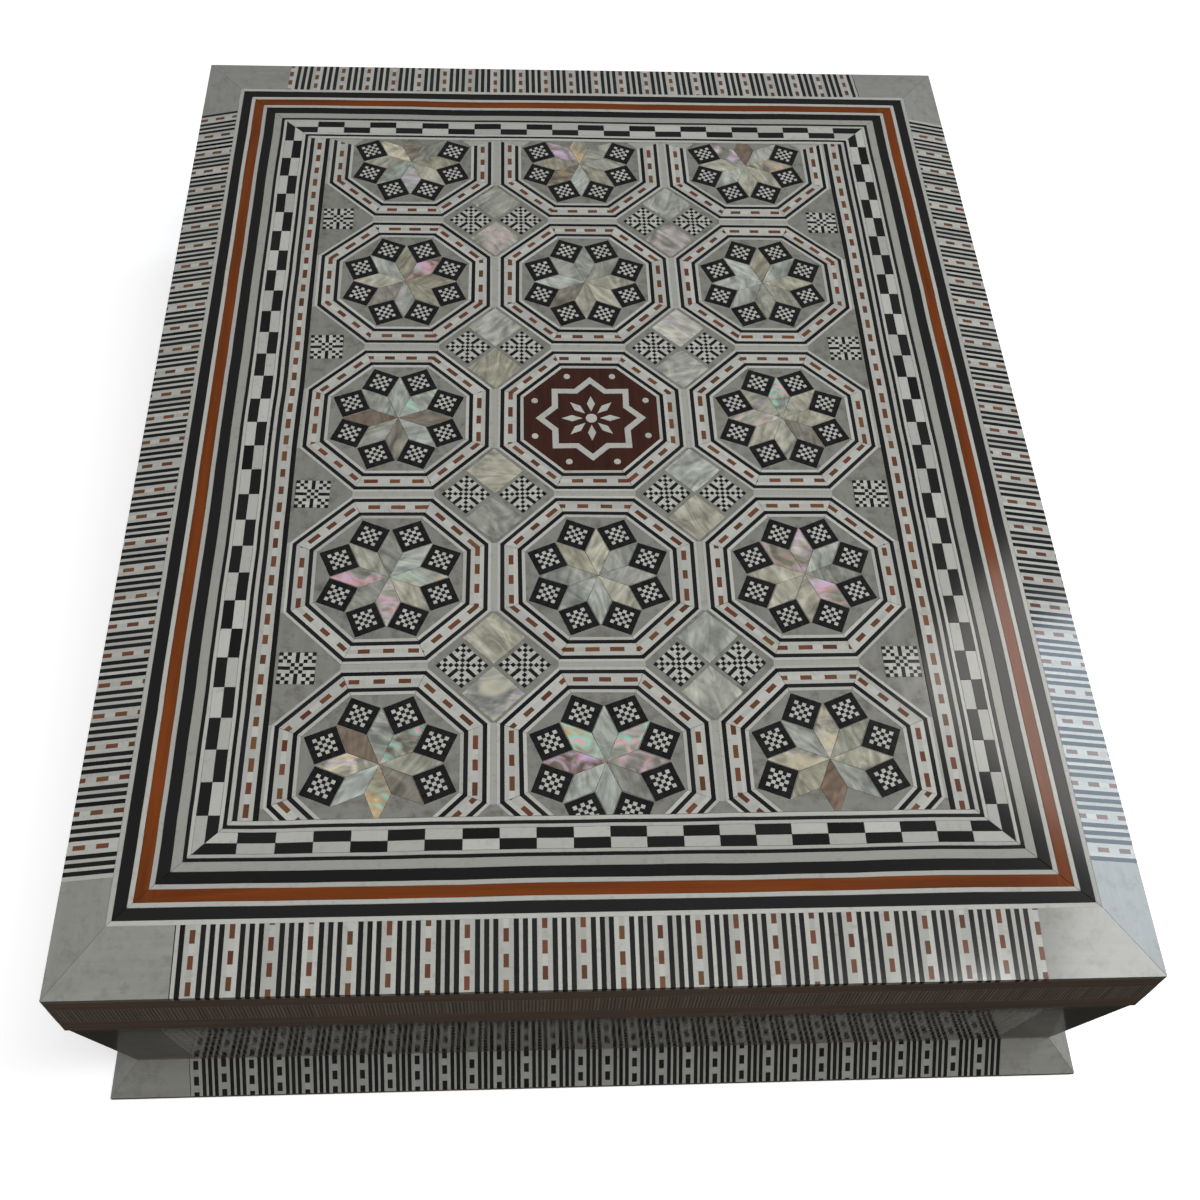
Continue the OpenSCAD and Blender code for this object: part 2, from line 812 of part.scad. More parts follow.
module white_lines() { color(bone) bands(WHITE_BANDS); }
module outer_black_band() { color(black) bands([OUTER_BLACK]); }
module orange_band() { color(orange_wood) bands([ORANGE]); }
module inner_black_band() { color(black) bands([INNER_BLACK]); }
module pale_band() { color(plate) bands([PALE]); }
module guard_lines() { color(black) bands(GUARD_BANDS); }
module checker_black_blocks() { color(black) checker_blocks(0); }
module checker_white_blocks() { color(bone) checker_blocks(1); }

module side_dash_strips() {
  color(bone)
    for (way = [-1, 1])
      translate([way * (field_half_x + dash_strip_w / 2), 0, inlay_z + inlay_t / 2])
        cube([dash_strip_w - glue, 2 * (field_half_y - glue), inlay_t], center = true);
}

module field_ground() {
  color(ground)
    field_inlay()
      union() {
        difference() {
          square(2 * [field_half_x, field_half_y], center = true);
          for (row = ROWS) at_octagons(row, true) octagon(octagon_w);
          at_crossings() pearl_2d(pearl_side + glue);
          mosaic_2d(mosaic_side + glue);
        }
        for (row = ROWS) at_octagons(row, true) frame_ground_2d(row);
      }
}

module octagon_frames() {
  color(bone) field_inlay() for (row = ROWS) at_octagons(row, true) frame_2d(row);
}

module octagon_grounds() {
  color(ground)
    field_inlay()
      difference() {
        for (row = ROWS)
          at_octagons(row, false)
            difference() {
              octagon(octagon_in_w);
              star();
              tiles_2d(row, tile_side + glue);
            }
        cut_tiles_2d(tile_side + glue);
      }
}

module star_diamonds() {
  color(pearl)
    field_inlay()
      for (row = ROWS)
        at_octagons(row, false)
          for (step = [0:7]) rotate(45 * step) diamond(glue);
}

module star_tiles() {
  color(black)
    field_inlay()
      union() {
        for (row = ROWS) at_octagons(row, false) tiles_2d(row, tile_side);
        cut_tiles_2d(tile_side);
      }
}

module pearl_squares() { color(pearl) field_inlay() at_crossings() pearl_2d(pearl_side); }
module mosaic_squares() { color(bone) field_inlay() mosaic_2d(mosaic_side); }

module medallion_ground() {
  color(dark_wood)
    field_inlay()
      translate([0, pattern_shift])
        difference() {
          octagon(octagon_in_w);
          rosette_2d(glue);
        }
}

module medallion_rosette() { color(bone) field_inlay() translate([0, pattern_shift]) rosette_2d(0); }
module lid_hinge_leaves() { color(brass) on_lid_side() at_hinges() hinge_leaf(1, pin_r + pin_clear); }
module lid_hinge_screws() { color(brass) on_lid_side() at_hinges() at_screws() screw(); }

base_felt();
base_board();
plinth_front();
plinth_right();
plinth_rear();
plinth_left();
plinth_veneers();
plinth_corner_plates();
front_wall();
right_wall();
rear_wall();
left_wall();
waist_strips();
rim_strips();
wall_veneer_front();
wall_veneer_right();
wall_veneer_rear();
wall_veneer_left();
wall_corner_plates();
floor_lining();
wall_linings();
body_hinge_leaves();
hinge_pins();
body_hinge_screws();
lid_front_rail();
lid_right_rail();
lid_rear_rail();
lid_left_rail();
lid_panel();
lid_lining();
lid_side_lower_strips();
lid_side_line_bands();
lid_side_upper_strips();
lid_border_front();
lid_border_right();
lid_border_rear();
lid_border_left();
lid_corner_plates();
white_lines();
outer_black_band();
orange_band();
inner_black_band();
pale_band();
guard_lines();
checker_black_blocks();
checker_white_blocks();
side_dash_strips();
field_ground();
octagon_frames();
octagon_grounds();
star_diamonds();
star_tiles();
pearl_squares();
mosaic_squares();
medallion_ground();
medallion_rosette();
lid_hinge_leaves();
lid_hinge_screws();
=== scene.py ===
import logging
import math
import random
from contextlib import contextmanager
from dataclasses import dataclass, field, replace
from enum import Enum
from typing import Callable, Iterator, Optional, Sequence

import bmesh
import bpy
from mathutils import Matrix, Vector, noise


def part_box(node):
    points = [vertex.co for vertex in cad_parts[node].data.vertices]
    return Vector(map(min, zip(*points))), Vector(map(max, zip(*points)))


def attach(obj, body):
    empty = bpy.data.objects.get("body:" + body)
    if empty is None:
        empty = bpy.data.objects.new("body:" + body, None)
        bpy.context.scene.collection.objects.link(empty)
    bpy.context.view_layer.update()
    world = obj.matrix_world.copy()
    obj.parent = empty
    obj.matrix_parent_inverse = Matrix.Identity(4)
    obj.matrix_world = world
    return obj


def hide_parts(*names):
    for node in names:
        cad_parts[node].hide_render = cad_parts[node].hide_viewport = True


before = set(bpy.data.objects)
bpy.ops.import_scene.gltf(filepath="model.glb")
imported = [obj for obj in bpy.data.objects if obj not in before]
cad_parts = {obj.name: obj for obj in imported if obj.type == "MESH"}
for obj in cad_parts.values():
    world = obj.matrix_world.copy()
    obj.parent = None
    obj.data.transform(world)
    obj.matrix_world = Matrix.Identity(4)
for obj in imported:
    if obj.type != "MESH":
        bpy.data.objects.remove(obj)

log = logging.getLogger("quran_box")

MM = 0.001
SEED = 20
# Attribute that holds each face's random tone
TONE = "tone"
# Decimals of a metre by which faces are put in order
DECIMALS = 5
# Corners closer than this are merged
WELD = 0.001 * MM
# Slack for picking what lies at a height
HAIR = 0.01 * MM
# Edges that turn by more than this are eased
SHARP = math.radians(50)
# Turn from one side of an octagon to the next
OCTAGON_TURN = math.pi / 4
ACROSS = Vector((1, 0, 0))
ALONG = Vector((0, 1, 0))
BOTH_WAYS = (-1, 1)

Piece = bpy.types.Object
Material = bpy.types.Material
NodeTree = bpy.types.NodeTree
Node = bpy.types.Node
Socket = bpy.types.NodeSocket
Colour = tuple[float, float, float, float]
Stops = Sequence[tuple[float, Colour]]
Plane = tuple[Vector, Vector]
Rule = Callable[[Vector], bool]
Shade = Callable[[Vector], int]


class Body(Enum):
    """The two bodies that the hinges join."""

    BOX = "box"
    LID = "lid"


class Side(Enum):
    """Sides of the box, in quarter turns from the front."""

    FRONT = 0
    RIGHT = 1
    REAR = 2
    LEFT = 3

    @property
    def turn(self) -> Matrix:
        """The turn that takes the front side here."""
        return Matrix.Rotation(math.pi / 2 * self.value, 4, "Z")

    @property
    def word(self) -> str:
        """The side's name in piece names."""
        return self.name.lower()

    @property
    def along_x(self) -> bool:
        """Whether the side runs along X."""
        return self.value % 2 == 0

    def length_of(self, node: str) -> float:
        """Size of a node along the side."""
        low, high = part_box(node)
        return high.x - low.x if self.along_x else high.y - low.y


@dataclass(frozen=True)
class Outline:
    """Main sizes of the lid and the walls, read from the frame or repeated from the part."""

    half_w: float
    half_l: float
    top: float
    glue: float = 0.05 * MM
    skin: float = 1.2 * MM
    waist_in: float = 5 * MM
    rim_in: float = 0.3 * MM
    foot_out: float = 1.5 * MM
    slope_foot: float = 2 * MM
    plinth_top: float = 8 * MM
    seam: float = 46 * MM
    side_border: float = 10.4 * MM
    end_border: float = 13.6 * MM
    border_h: float = 2 * MM
    arris: float = 0.05 * MM

    @classmethod
    def from_frame(cls) -> "Outline":
        """Reads the lid's size from its corner plates."""
        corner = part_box("lid_corner_plates")[1]
        return cls(corner.x, corner.y, corner.z)

    def half_span(self, side: Side) -> float:
        """Half the lid's size along a side."""
        return self.half_w if side.along_x else self.half_l

    def half_depth(self, side: Side) -> float:
        """Half the lid's size square to a side."""
        return self.half_l if side.along_x else self.half_w

    def border(self, side: Side) -> float:
        """Width of the lid's sloped border on a side."""
        return self.end_border if side.along_x else self.side_border

    def wall_in(self, height: float) -> float:
        """Inset of the outer side of the walls at a height."""
        share = (height - self.plinth_top) / (self.seam - self.plinth_top)
        return self.waist_in + (self.rim_in - self.waist_in) * share


OUT = Outline.from_frame()


class Bench:
    """Hand tools that shape one piece at a time."""

    @staticmethod
    def pick(piece: Piece) -> None:
        """Selects one piece alone.

        Args:
            piece: The piece.
        """
        bpy.ops.object.select_all(action="DESELECT")
        piece.select_set(True)
        bpy.context.view_layer.objects.active = piece

    @staticmethod
    @contextmanager
    def editing(piece: Piece) -> Iterator[None]:
        """Opens a piece in edit mode with everything selected, and closes it again.

        Args:
            piece: The piece.

        Returns:
            The stretch of work in edit mode.
        """
        Bench.pick(piece)
        bpy.ops.object.mode_set(mode="EDIT")
        bpy.ops.mesh.select_mode(type="FACE")
        bpy.ops.mesh.select_all(action="SELECT")
        yield
        bpy.ops.object.mode_set(mode="OBJECT")

    @staticmethod
    def sheet(name: str, low: Vector, high: Vector, finishes: Sequence[Material]) -> Piece:
        """Adds a flat sheet between two corners at the height of the first.

        Args:
            name: Name of the piece.
            low: Lowest corner.
            high: Highest corner.
            finishes: Materials of the piece's slots.

        Returns:
            The sheet.
        """
        bpy.ops.object.select_all(action="DESELECT")
        bpy.ops.mesh.primitive_plane_add(size=1)
        piece = bpy.context.active_object
        piece.name = name
        piece.data.name = name
        middle = (low + high) / 2
        with Bench.editing(piece):
            bpy.ops.transform.resize(value=(high.x - low.x, high.y - low.y, 1), center_override=(0, 0, 0))
            bpy.ops.transform.translate(value=(middle.x, middle.y, low.z))
        for finish in finishes:
            piece.data.materials.append(finish)
        return piece

    @staticmethod
    def between(low: float, high: float) -> Rule:
        """The rule that takes what lies between two places along X."""
        return lambda middle: low < middle.x < high

    @staticmethod
    def choose(piece: Piece, rule: Optional[Rule]) -> bool:
        """Selects the faces whose middle a rule takes, in edit mode.

        Args:
            piece: The piece in edit mode.
            rule: Test of a face's middle, or None for all faces.

        Returns:
            Whether any face was taken.
        """
        bpy.ops.mesh.select_all(action="SELECT" if rule is None else "DESELECT")
        if rule is None:
            return True
        shape = bmesh.from_edit_mesh(piece.data)
        taken = [face for face in shape.faces if rule(face.calc_center_median())]
        for face in taken:
            face.select_set(True)
        bmesh.update_edit_mesh(piece.data)
        return bool(taken)

    @staticmethod
    def cut(piece: Piece, plane: Plane, rule: Optional[Rule] = None, clear: bool = False) -> None:
        """Cuts faces along a plane, in edit mode.

        Args:
            piece: The piece in edit mode.
            plane: A point of the plane and the direction square to it.
            rule: Test of the faces to cut, or None for all.
            clear: Whether what lies past the plane is taken away.
        """
        if Bench.choose(piece, rule):
            bpy.ops.mesh.bisect(plane_co=plane[0], plane_no=plane[1], clear_outer=clear, use_fill=False)

    @staticmethod
    def saw(piece: Piece, way: Vector, places: Sequence[float], rule: Optional[Rule] = None) -> None:
        """Cuts a piece at places along a direction, in edit mode.

        Args:
            piece: The piece in edit mode.
            way: The direction.
            places: How far along it the cuts lie.
            rule: Test of the faces to cut, or None for all.
        """
        for place in places:
            Bench.cut(piece, (way * place, way), rule)

    @staticmethod
    def trim(piece: Piece, planes: Sequence[Plane]) -> None:
        """Takes away what lies past each plane and closes the cut.

        Args:
            piece: The piece to trim.
            planes: Points and outward directions.
        """
        with Bench.editing(piece):
            for point, normal in planes:
                bpy.ops.mesh.select_all(action="SELECT")
                bpy.ops.mesh.bisect(plane_co=point, plane_no=normal, clear_outer=True, use_fill=True)

    @staticmethod
    def paint(piece: Piece, shade: Shade) -> None:
        """Gives each face the slot that a rule names for its middle."""
        for face in piece.data.polygons:
            face.material_index = shade(face.center)

    @staticmethod
    def back(piece: Piece, way: Vector) -> None:
        """Gives an open sheet its thickness along a direction and closes it.

        Args:
            piece: The open sheet.
            way: From the front of the sheet to its back.
        """
        with Bench.editing(piece):
            bpy.ops.mesh.select_mode(type="EDGE")
            bpy.ops.mesh.select_all(action="DESELECT")
            shape = bmesh.from_edit_mesh(piece.data)
            for edge in shape.edges:
                if edge.is_boundary:
                    edge.select_set(True)
            bmesh.update_edit_mesh(piece.data)
            bpy.ops.mesh.extrude_edges_move(TRANSFORM_OT_translate={"value": tuple(way)})
            bpy.ops.mesh.edge_face_add()
            bpy.ops.mesh.select_all(action="SELECT")
            bpy.ops.mesh.normals_make_consistent(inside=False)

    @staticmethod
    def copy(master: Piece, place: Matrix) -> Piece:
        """Copies a piece with a mesh of its own to a place.

        Args:
            master: The piece to copy.
            place: Where the copy goes.

        Returns:
            The copy.
        """
        piece = bpy.data.objects.new(master.name, master.data.copy())
        bpy.context.scene.collection.objects.link(piece)
        piece.data.transform(place)
        return piece

    @staticmethod
    def join(pieces: Sequence[Piece], name: str, weld: bool = False) -> Piece:
        """Joins pieces into one.

        Args:
            pieces: The pieces to join.
            name: Name of the whole.
            weld: Whether touching corners are merged.

        Returns:
            The whole piece.
        """
        bpy.ops.object.select_all(action="DESELECT")
        for piece in pieces:
            piece.select_set(True)
        bpy.context.view_layer.objects.active = pieces[0]
        bpy.ops.object.join()
        whole = bpy.context.active_object
        whole.name = name
        whole.data.name = name
        if weld:
            with Bench.editing(whole):
                bpy.ops.mesh.remove_doubles(threshold=WELD)
        return whole

    @staticmethod
    def discard(masters: Sequence[Piece]) -> None:
        """Removes the masters once their copies are made."""
        for master in masters:
            bpy.data.objects.remove(master)

    @staticmethod
    def row(name: str, step: float, length: float, pick: Callable[[], Piece]) -> Piece:
        """Lays copies side by side along X into one sheet, centred and cut to a length.

        Args:
            name: Name of the sheet.
            step: Width of one copy.
            length: Length of the sheet.
            pick: Gives the master of the next copy.

        Returns:
            The sheet.
        """
        count = math.ceil(length / step) + 1
        start = -count * step / 2
        places = [Matrix.Translation(ACROSS * (start + turn * step)) for turn in range(count)]
        laid = [Bench.copy(pick(), place) for place in places]
        whole = Bench.join(laid, name, weld=True)
        with Bench.editing(whole):
            for way in BOTH_WAYS:
                Bench.cut(whole, (ACROSS * (way * length / 2), ACROSS * way), clear=True)
        return whole

    @staticmethod
    def from_node(node: str, name: str, finish: Material, sink: float = 0) -> Piece:
        """Copies a node into a piece with its upper edges eased.

        Args:
            node: The node to copy.
            name: Name of the piece.
            finish: Its material.
            sink: How far the upper face lies below the node's.

        Returns:
            The piece.
        """
        piece = bpy.data.objects.new(name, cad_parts[node].data.copy())
        bpy.context.scene.collection.objects.link(piece)
        piece.data.materials.clear()
        piece.data.materials.append(finish)
        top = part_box(node)[1].z
        with Bench.editing(piece):
            bpy.ops.mesh.remove_doubles(threshold=WELD)
            if sink:
                Bench.choose(piece, lambda middle: middle.z > top - HAIR)
                bpy.ops.transform.translate(value=(0, 0, -sink))
        Bench.ease(piece, top - sink)
        return piece

    @staticmethod
    def ease(piece: Piece, top: float) -> None:
        """Eases the sharp edges round a piece's upper face.

        Args:
            piece: The piece.
            top: Height of the upper face.
        """
        with Bench.editing(piece):
            bpy.ops.mesh.select_all(action="DESELECT")
            bpy.ops.mesh.select_mode(type="EDGE")
            bpy.ops.mesh.edges_select_sharp(sharpness=SHARP)
            shape = bmesh.from_edit_mesh(piece.data)
            for edge in shape.edges:
                if edge.select and min(vert.co.z for vert in edge.verts) < top - HAIR:
                    edge.select_set(False)
            bmesh.update_edit_mesh(piece.data)
            bpy.ops.mesh.bevel(offset=OUT.arris, segments=1, affect="EDGES", clamp_overlap=True)

    @staticmethod
    def tone(piece: Piece, draw: random.Random, by_island: bool = False) -> None:
        """Stores a random tone on each face, or the same one on a whole loose part.

        Args:
            piece: The piece.
            draw: Source of the tones.
            by_island: Whether all faces of a loose part share a tone.
        """
        mesh = piece.data
        tones = mesh.attributes.new(TONE, "FLOAT", "FACE")
        order = sorted(mesh.polygons, key=lambda face: [round(part, DECIMALS) for part in face.center])
        values = [0.0] * len(order)
        if not by_island:
            for face in order:
                values[face.index] = draw.random()
            tones.data.foreach_set("value", values)
            return
        root = list(range(len(mesh.vertices)))

        def find(vert: int) -> int:
            """The vertex that stands for a loose part.

            Args:
                vert: Any vertex of the part.

            Returns:
                The vertex.
            """
            while root[vert] != vert:
                root[vert] = root[root[vert]]
                vert = root[vert]
            return vert

        for edge in mesh.edges:
            root[find(edge.vertices[0])] = find(edge.vertices[1])
        drawn: dict[int, float] = {}
        for face in order:
            part = find(face.vertices[0])
            if part not in drawn:
                drawn[part] = draw.random()
            values[face.index] = drawn[part]
        tones.data.foreach_set("value", values)

    @staticmethod
    def fit(piece: Piece, body: Body, slot: str, *nodes: str) -> None:
        """Puts a finished piece on its body in place of the nodes that it stands for.

        Args:
            piece: The finished piece.
            body: What it moves with.
            slot: Not used.
            nodes: The nodes that it replaces.
        """
        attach(piece, body.value)
        if nodes:
            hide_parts(*nodes)
        log.info("%s: %d faces", piece.name, len(piece.data.polygons))


def tint(red: int, green: int, blue: int) -> Colour:
    """A display colour as a linear one.

    Args:
        red: Red from 0 to 255.
        green: Green from 0 to 255.
        blue: Blue from 0 to 255.

    Returns:
        The linear colour with full opacity.
    """
    shares = [part / 255 for part in (red, green, blue)]
    linear = [part / 12.92 if part <= 0.04045 else ((part + 0.055) / 1.055) ** 2.4 for part in shares]
    return (linear[0], linear[1], linear[2], 1.0)


class Tree:
    """Short calls for building a node tree."""

    def __init__(self, tree: NodeTree) -> None:
        """Takes the tree to build in."""
        self.tree = tree

    def add(self, kind: str, settings: Optional[dict] = None, **inputs: object) -> Node:
        """Adds a node.

        Args:
            kind: The node's type without its ShaderNode prefix.
            settings: The node's own properties.
            inputs: Values or sockets by input name, with _ for a space.

        Returns:
            The node.
        """
        node = self.tree.nodes.new("ShaderNode" + kind)
        for key, value in (settings or {}).items():
            setattr(node, key, value)
        for key, value in inputs.items():
            self.feed(node.inputs[key.replace("_", " ")], value)
        return node

    def feed(self, socket: Socket, value: object) -> None:
        """Sets a socket or links another socket to it.

        Args:
            socket: The socket to feed.
            value: A value, or the socket to link.
        """
        if isinstance(value, Socket):
            self.tree.links.new(value, socket)
        else:
            socket.default_value = value

    def math(self, kind: str, *values: object) -> Socket:
        """Adds a sum on numbers or sockets.

        Args:
            kind: What is done with the values.
            values: Numbers or sockets.

        Returns:
            The result.
        """
        node = self.add("Math", {"operation": kind})
        for socket, value in zip(node.inputs, values):
            self.feed(socket, value)
        return node.outputs[0]

    def scaled(self, place: Socket, scale: object) -> Socket:
        """Multiplies a vector part by part.

        Args:
            place: The vector.
            scale: A vector or a socket to multiply it by.

        Returns:
            The result.
        """
        node = self.add("VectorMath", {"operation": "MULTIPLY"})
        self.feed(node.inputs[0], place)
        self.feed(node.inputs[1], scale)
        return node.outputs[0]

    def noise(self, place: Socket, scale: object, **inputs: object) -> Socket:
        """Adds a noise and gives its value."""
        return self.add("TexNoise", Vector=place, Scale=scale, **inputs).outputs[0]

    def remap(
        self, value: Socket, given: tuple[float, float], wanted: tuple[float, float] = (0.0, 1.0)
    ) -> Socket:
        """Takes a value from one range to another, and holds it there.

        Args:
            value: The value.
            given: Ends of the range that it comes from.
            wanted: Ends of the range that it goes to.

        Returns:
            The new value.
        """
        ends = {"From_Min": given[0], "From_Max": given[1], "To_Min": wanted[0], "To_Max": wanted[1]}
        return self.add("MapRange", Value=value, **ends).outputs[0]

    def mix(self, share: object, first: object, second: object) -> Socket:
        """Mixes two colours.

        Args:
            share: Share of the second colour.
            first: First colour.
            second: Second colour.

        Returns:
            The mixed colour.
        """
        node = self.add("Mix", {"data_type": "RGBA", "clamp_factor": True})
        colours = [socket for socket in node.inputs if socket.type == "RGBA"]
        self.feed(node.inputs[0], share)
        self.feed(colours[0], first)
        self.feed(colours[1], second)
        return next(socket for socket in node.outputs if socket.type == "RGBA")

    def group(self, kind: "Effect", **inputs: object) -> bpy.types.NodeOutputs:
        """Places a shared effect with its own values.

        Args:
            kind: The effect.
            inputs: Values or sockets by input name.

        Returns:
            The effect's outputs, by name.
        """
        node = self.add("Group", {"node_tree": kind.tree()}, **inputs)
        return node.outputs

    def ramp(self, share: Socket, stops: Stops) -> Socket:
        """Adds a colour ramp.

        Args:
            share: Place on the ramp.
            stops: Places and colours of its stops.

        Returns:
            The colour at that place.
        """
        node = self.add("ValToRGB", Fac=share)
        bar = node.color_ramp.elements
        while len(bar) < len(stops):
            bar.new(0.5)
        for element, (place, colour) in zip(bar, stops):
            element.position = place
            element.color = colour
        return node.outputs["Color"]


class Effect(Enum):
    """Effects that several finishes share, each a node group."""

    PIECE_TONE = "piece_tone"
    RING_GRAIN = "ring_grain"
    SMUDGES = "smudges"
    SHELL_FIGURE = "shell_figure"

    def tree(self) -> NodeTree:
        """The effect's node group, built at its first use.

        Returns:
            The group's tree.
        """
        known = bpy.data.node_groups.get(self.value)
        if known:
            return known
        tree = bpy.data.node_groups.new(self.value, "ShaderNodeTree")
        getattr(EffectTrees, self.value)(tree)
        return tree


# Factors that make fresh random numbers from a piece's tone
HUE_DRAW = 7.3
TURN_DRAW = 37.0
GLINT_DRAW = 29.7
CHANCE_DRAW = 11.3
# How much finer the small smudges are, and the shares of both kinds in the roughness
SMALL_FINER = 9.0
WIDE_SHARE = 0.65
SMALL_SHARE = 0.35
# How much closer the ripples of shell lie across than along
RIPPLE_STRETCH = (1.0, 3.4, 1.0)


class EffectTrees:
    """What is inside each shared effect."""

    @staticmethod
    def sockets(
        tree: NodeTree, inputs: dict[str, str], outputs: Sequence[str]
    ) -> tuple[Tree, bpy.types.NodeOutputs, bpy.types.NodeInputs]:
        """Gives a group its sockets.

        Args:
            tree: The group's tree.
            inputs: Kind of each input by name.
            outputs: Names of the outputs, a colour where the name says so and else a number.

        Returns:
            The tree's calls, the inputs to read and the outputs to feed, by name.
        """
        for name, kind in inputs.items():
            tree.interface.new_socket(name, in_out="INPUT", socket_type="NodeSocket" + kind)
        for name in outputs:
            kind = "Color" if name == "Colour" else "Float"
            tree.interface.new_socket(name, in_out="OUTPUT", socket_type="NodeSocket" + kind)
        source = tree.nodes.new("NodeGroupInput")
        sink = tree.nodes.new("NodeGroupOutput")
        return Tree(tree), source.outputs, sink.inputs

    @staticmethod
    def piece_tone(tree: NodeTree) -> None:
        """A colour that differs a little from piece to piece.

        Args:
            tree: The group's tree.
        """
        inputs = {"Colour": "Color", "Light": "Float", "Hue": "Float"}
        build, given, out = EffectTrees.sockets(tree, inputs, ["Colour"])
        drawn = build.add("Attribute", {"attribute_name": TONE}).outputs["Fac"]
        centred = build.math("SUBTRACT", drawn, 0.5)
        light = build.math("MULTIPLY_ADD", centred, given["Light"], 1.0)
        again = build.math("FRACT", build.math("MULTIPLY", drawn, HUE_DRAW))
        hue = build.math("MULTIPLY_ADD", build.math("SUBTRACT", again, 0.5), given["Hue"], 0.5)
        shifted = build.add("HueSaturation", Hue=hue, Value=light, Color=given["Colour"])
        build.feed(out["Colour"], shifted.outputs["Color"])

    @staticmethod
    def ring_grain(tree: NodeTree) -> None:
        """Streaks that run along each side of the box, turned at the mitres.

        Args:
            tree: The group's tree.
        """
        inputs = {"Across": "Float", "Along": "Float", "Wander": "Float"}
        build, given, out = EffectTrees.sockets(tree, inputs, ["Streak", "Fine"])
        place = build.add("TexCoord").outputs["Object"]
        parts = build.add("SeparateXYZ", Vector=place).outputs
        reach_x = build.math("SUBTRACT", build.math("ABSOLUTE", parts["X"]), OUT.half_w)
        reach_y = build.math("SUBTRACT", build.math("ABSOLUTE", parts["Y"]), OUT.half_l)
        on_side = build.math("GREATER_THAN", reach_x, reach_y)
        swapped = build.add("CombineXYZ", X=parts["Y"], Y=parts["X"], Z=parts["Z"]).outputs[0]
        picked = build.add("Mix", {"data_type": "VECTOR"})
        vectors = [socket for socket in picked.inputs if socket.type == "VECTOR"]
        build.feed(picked.inputs[0], on_side)
        build.feed(vectors[-2], place)
        build.feed(vectors[-1], swapped)
        scale = build.add("CombineXYZ", X=given["Along"], Y=given["Across"], Z=given["Across"]).outputs[0]
        spread = build.scaled(picked.outputs[1], scale)
        streak = build.noise(spread, 1.0, Detail=4.0, Roughness=0.6, Distortion=given["Wander"])
        build.feed(out["Streak"], streak)
        build.feed(out["Fine"], build.noise(spread, 4.0, Detail=3.0, Roughness=0.7))

    @staticmethod
    def smudges(tree: NodeTree) -> None:
        """Cloudy marks in a lacquer: a wide mask, a small one and a roughness round a middle value.

        Args:
            tree: The group's tree.
        """
        inputs = {"Size": "Float", "Middle": "Float", "Spread": "Float"}
        build, given, out = EffectTrees.sockets(tree, inputs, ["Wide", "Small", "Roughness"])
        place = build.add("TexCoord").outputs["Object"]
        wide = build.noise(place, given["Size"], Detail=3.0, Roughness=0.55)
        small_size = build.math("MULTIPLY", given["Size"], SMALL_FINER)
        small = build.noise(place, small_size, Detail=4.0, Roughness=0.65)
        wide_part = build.math("MULTIPLY", wide, WIDE_SHARE)
        both = build.math("MULTIPLY_ADD", small, SMALL_SHARE, wide_part)
        centred = build.math("SUBTRACT", both, 0.5)
        rough = build.math("MULTIPLY_ADD", centred, given["Spread"], given["Middle"])
        build.feed(out["Wide"], wide)
        build.feed(out["Small"], small)
        build.feed(out["Roughness"], rough)

    @staticmethod
    def shell_figure(tree: NodeTree) -> None:
        """Ripples and cloudy patches of shell, turned anew on each piece.

        Args:
            tree: The group's tree.
        """
        inputs = {"Size": "Float", "Lines": "Float"}
        build, given, out = EffectTrees.sockets(tree, inputs, ["Patch", "Line", "Tone"])
        drawn = build.add("Attribute", {"attribute_name": TONE}).outputs["Fac"]
        place = build.add("TexCoord").outputs["Object"]
        angle = build.math("MULTIPLY", drawn, TURN_DRAW)
        turned = build.add("VectorRotate", {"rotation_type": "Z_AXIS"}, Vector=place, Angle=angle).outputs[0]
        stretched = build.scaled(turned, RIPPLE_STRETCH)
        patch = build.noise(turned, given["Size"], Detail=2.5, Roughness=0.55, Distortion=1.4)
        line = build.noise(stretched, given["Lines"], Detail=2.5, Roughness=0.5, Distortion=2.0)
        build.feed(out["Patch"], patch)
        build.feed(out["Line"], line)
        build.feed(out["Tone"], drawn)


# Reflection of a surface itself, under a coat and without one
COATED_SPECULAR = 0.05
BARE_SPECULAR = 0.5
COAT_ROUGHNESS = 0.1
COAT_IOR = 1.5
SHEEN_ROUGHNESS = 0.45
# Range that most of a noise lies in
NOISE_RANGE = (0.3, 0.7)


@dataclass(frozen=True)
class Finish:
    """A finish with a name, a base colour and a lacquer coat."""

    name: str
    colour: Colour
    coat: float = 1.0
    rough: float = 0.42

    def material(self) -> Material:
        """The finish's material, made at its first use.

        Returns:
            The material.
        """
        known = bpy.data.materials.get(self.name)
        if known:
            return known
        made = bpy.data.materials.new(self.name)
        made.use_nodes = True
        shader = made.node_tree.nodes["Principled BSDF"]
        shader.inputs["Coat Weight"].default_value = self.coat
        shader.inputs["Specular IOR Level"].default_value = COATED_SPECULAR if self.coat else BARE_SPECULAR
        shader.inputs["Coat Roughness"].default_value = COAT_ROUGHNESS
        shader.inputs["Coat IOR"].default_value = COAT_IOR
        self.dress(Tree(made.node_tree), shader)
        return made

    def dress(self, build: Tree, shader: Node) -> None:
        """Feeds the shader with what the finish shows."""
        raise NotImplementedError

    def surface(self, build: Tree, shader: Node, colour: Socket, rough: Socket) -> None:
        """Feeds the shader's colour and roughness."""
        build.feed(shader.inputs["Base Color"], colour)
        build.feed(shader.inputs["Roughness"], rough)

    def bump(self, build: Tree, shader: Node, height: Socket, depth: float, strength: float) -> None:
        """Gives the shader a fine relief."""
        node = build.add("Bump", Height=height, Distance=depth, Strength=strength)
        build.feed(shader.inputs["Normal"], node.outputs[0])


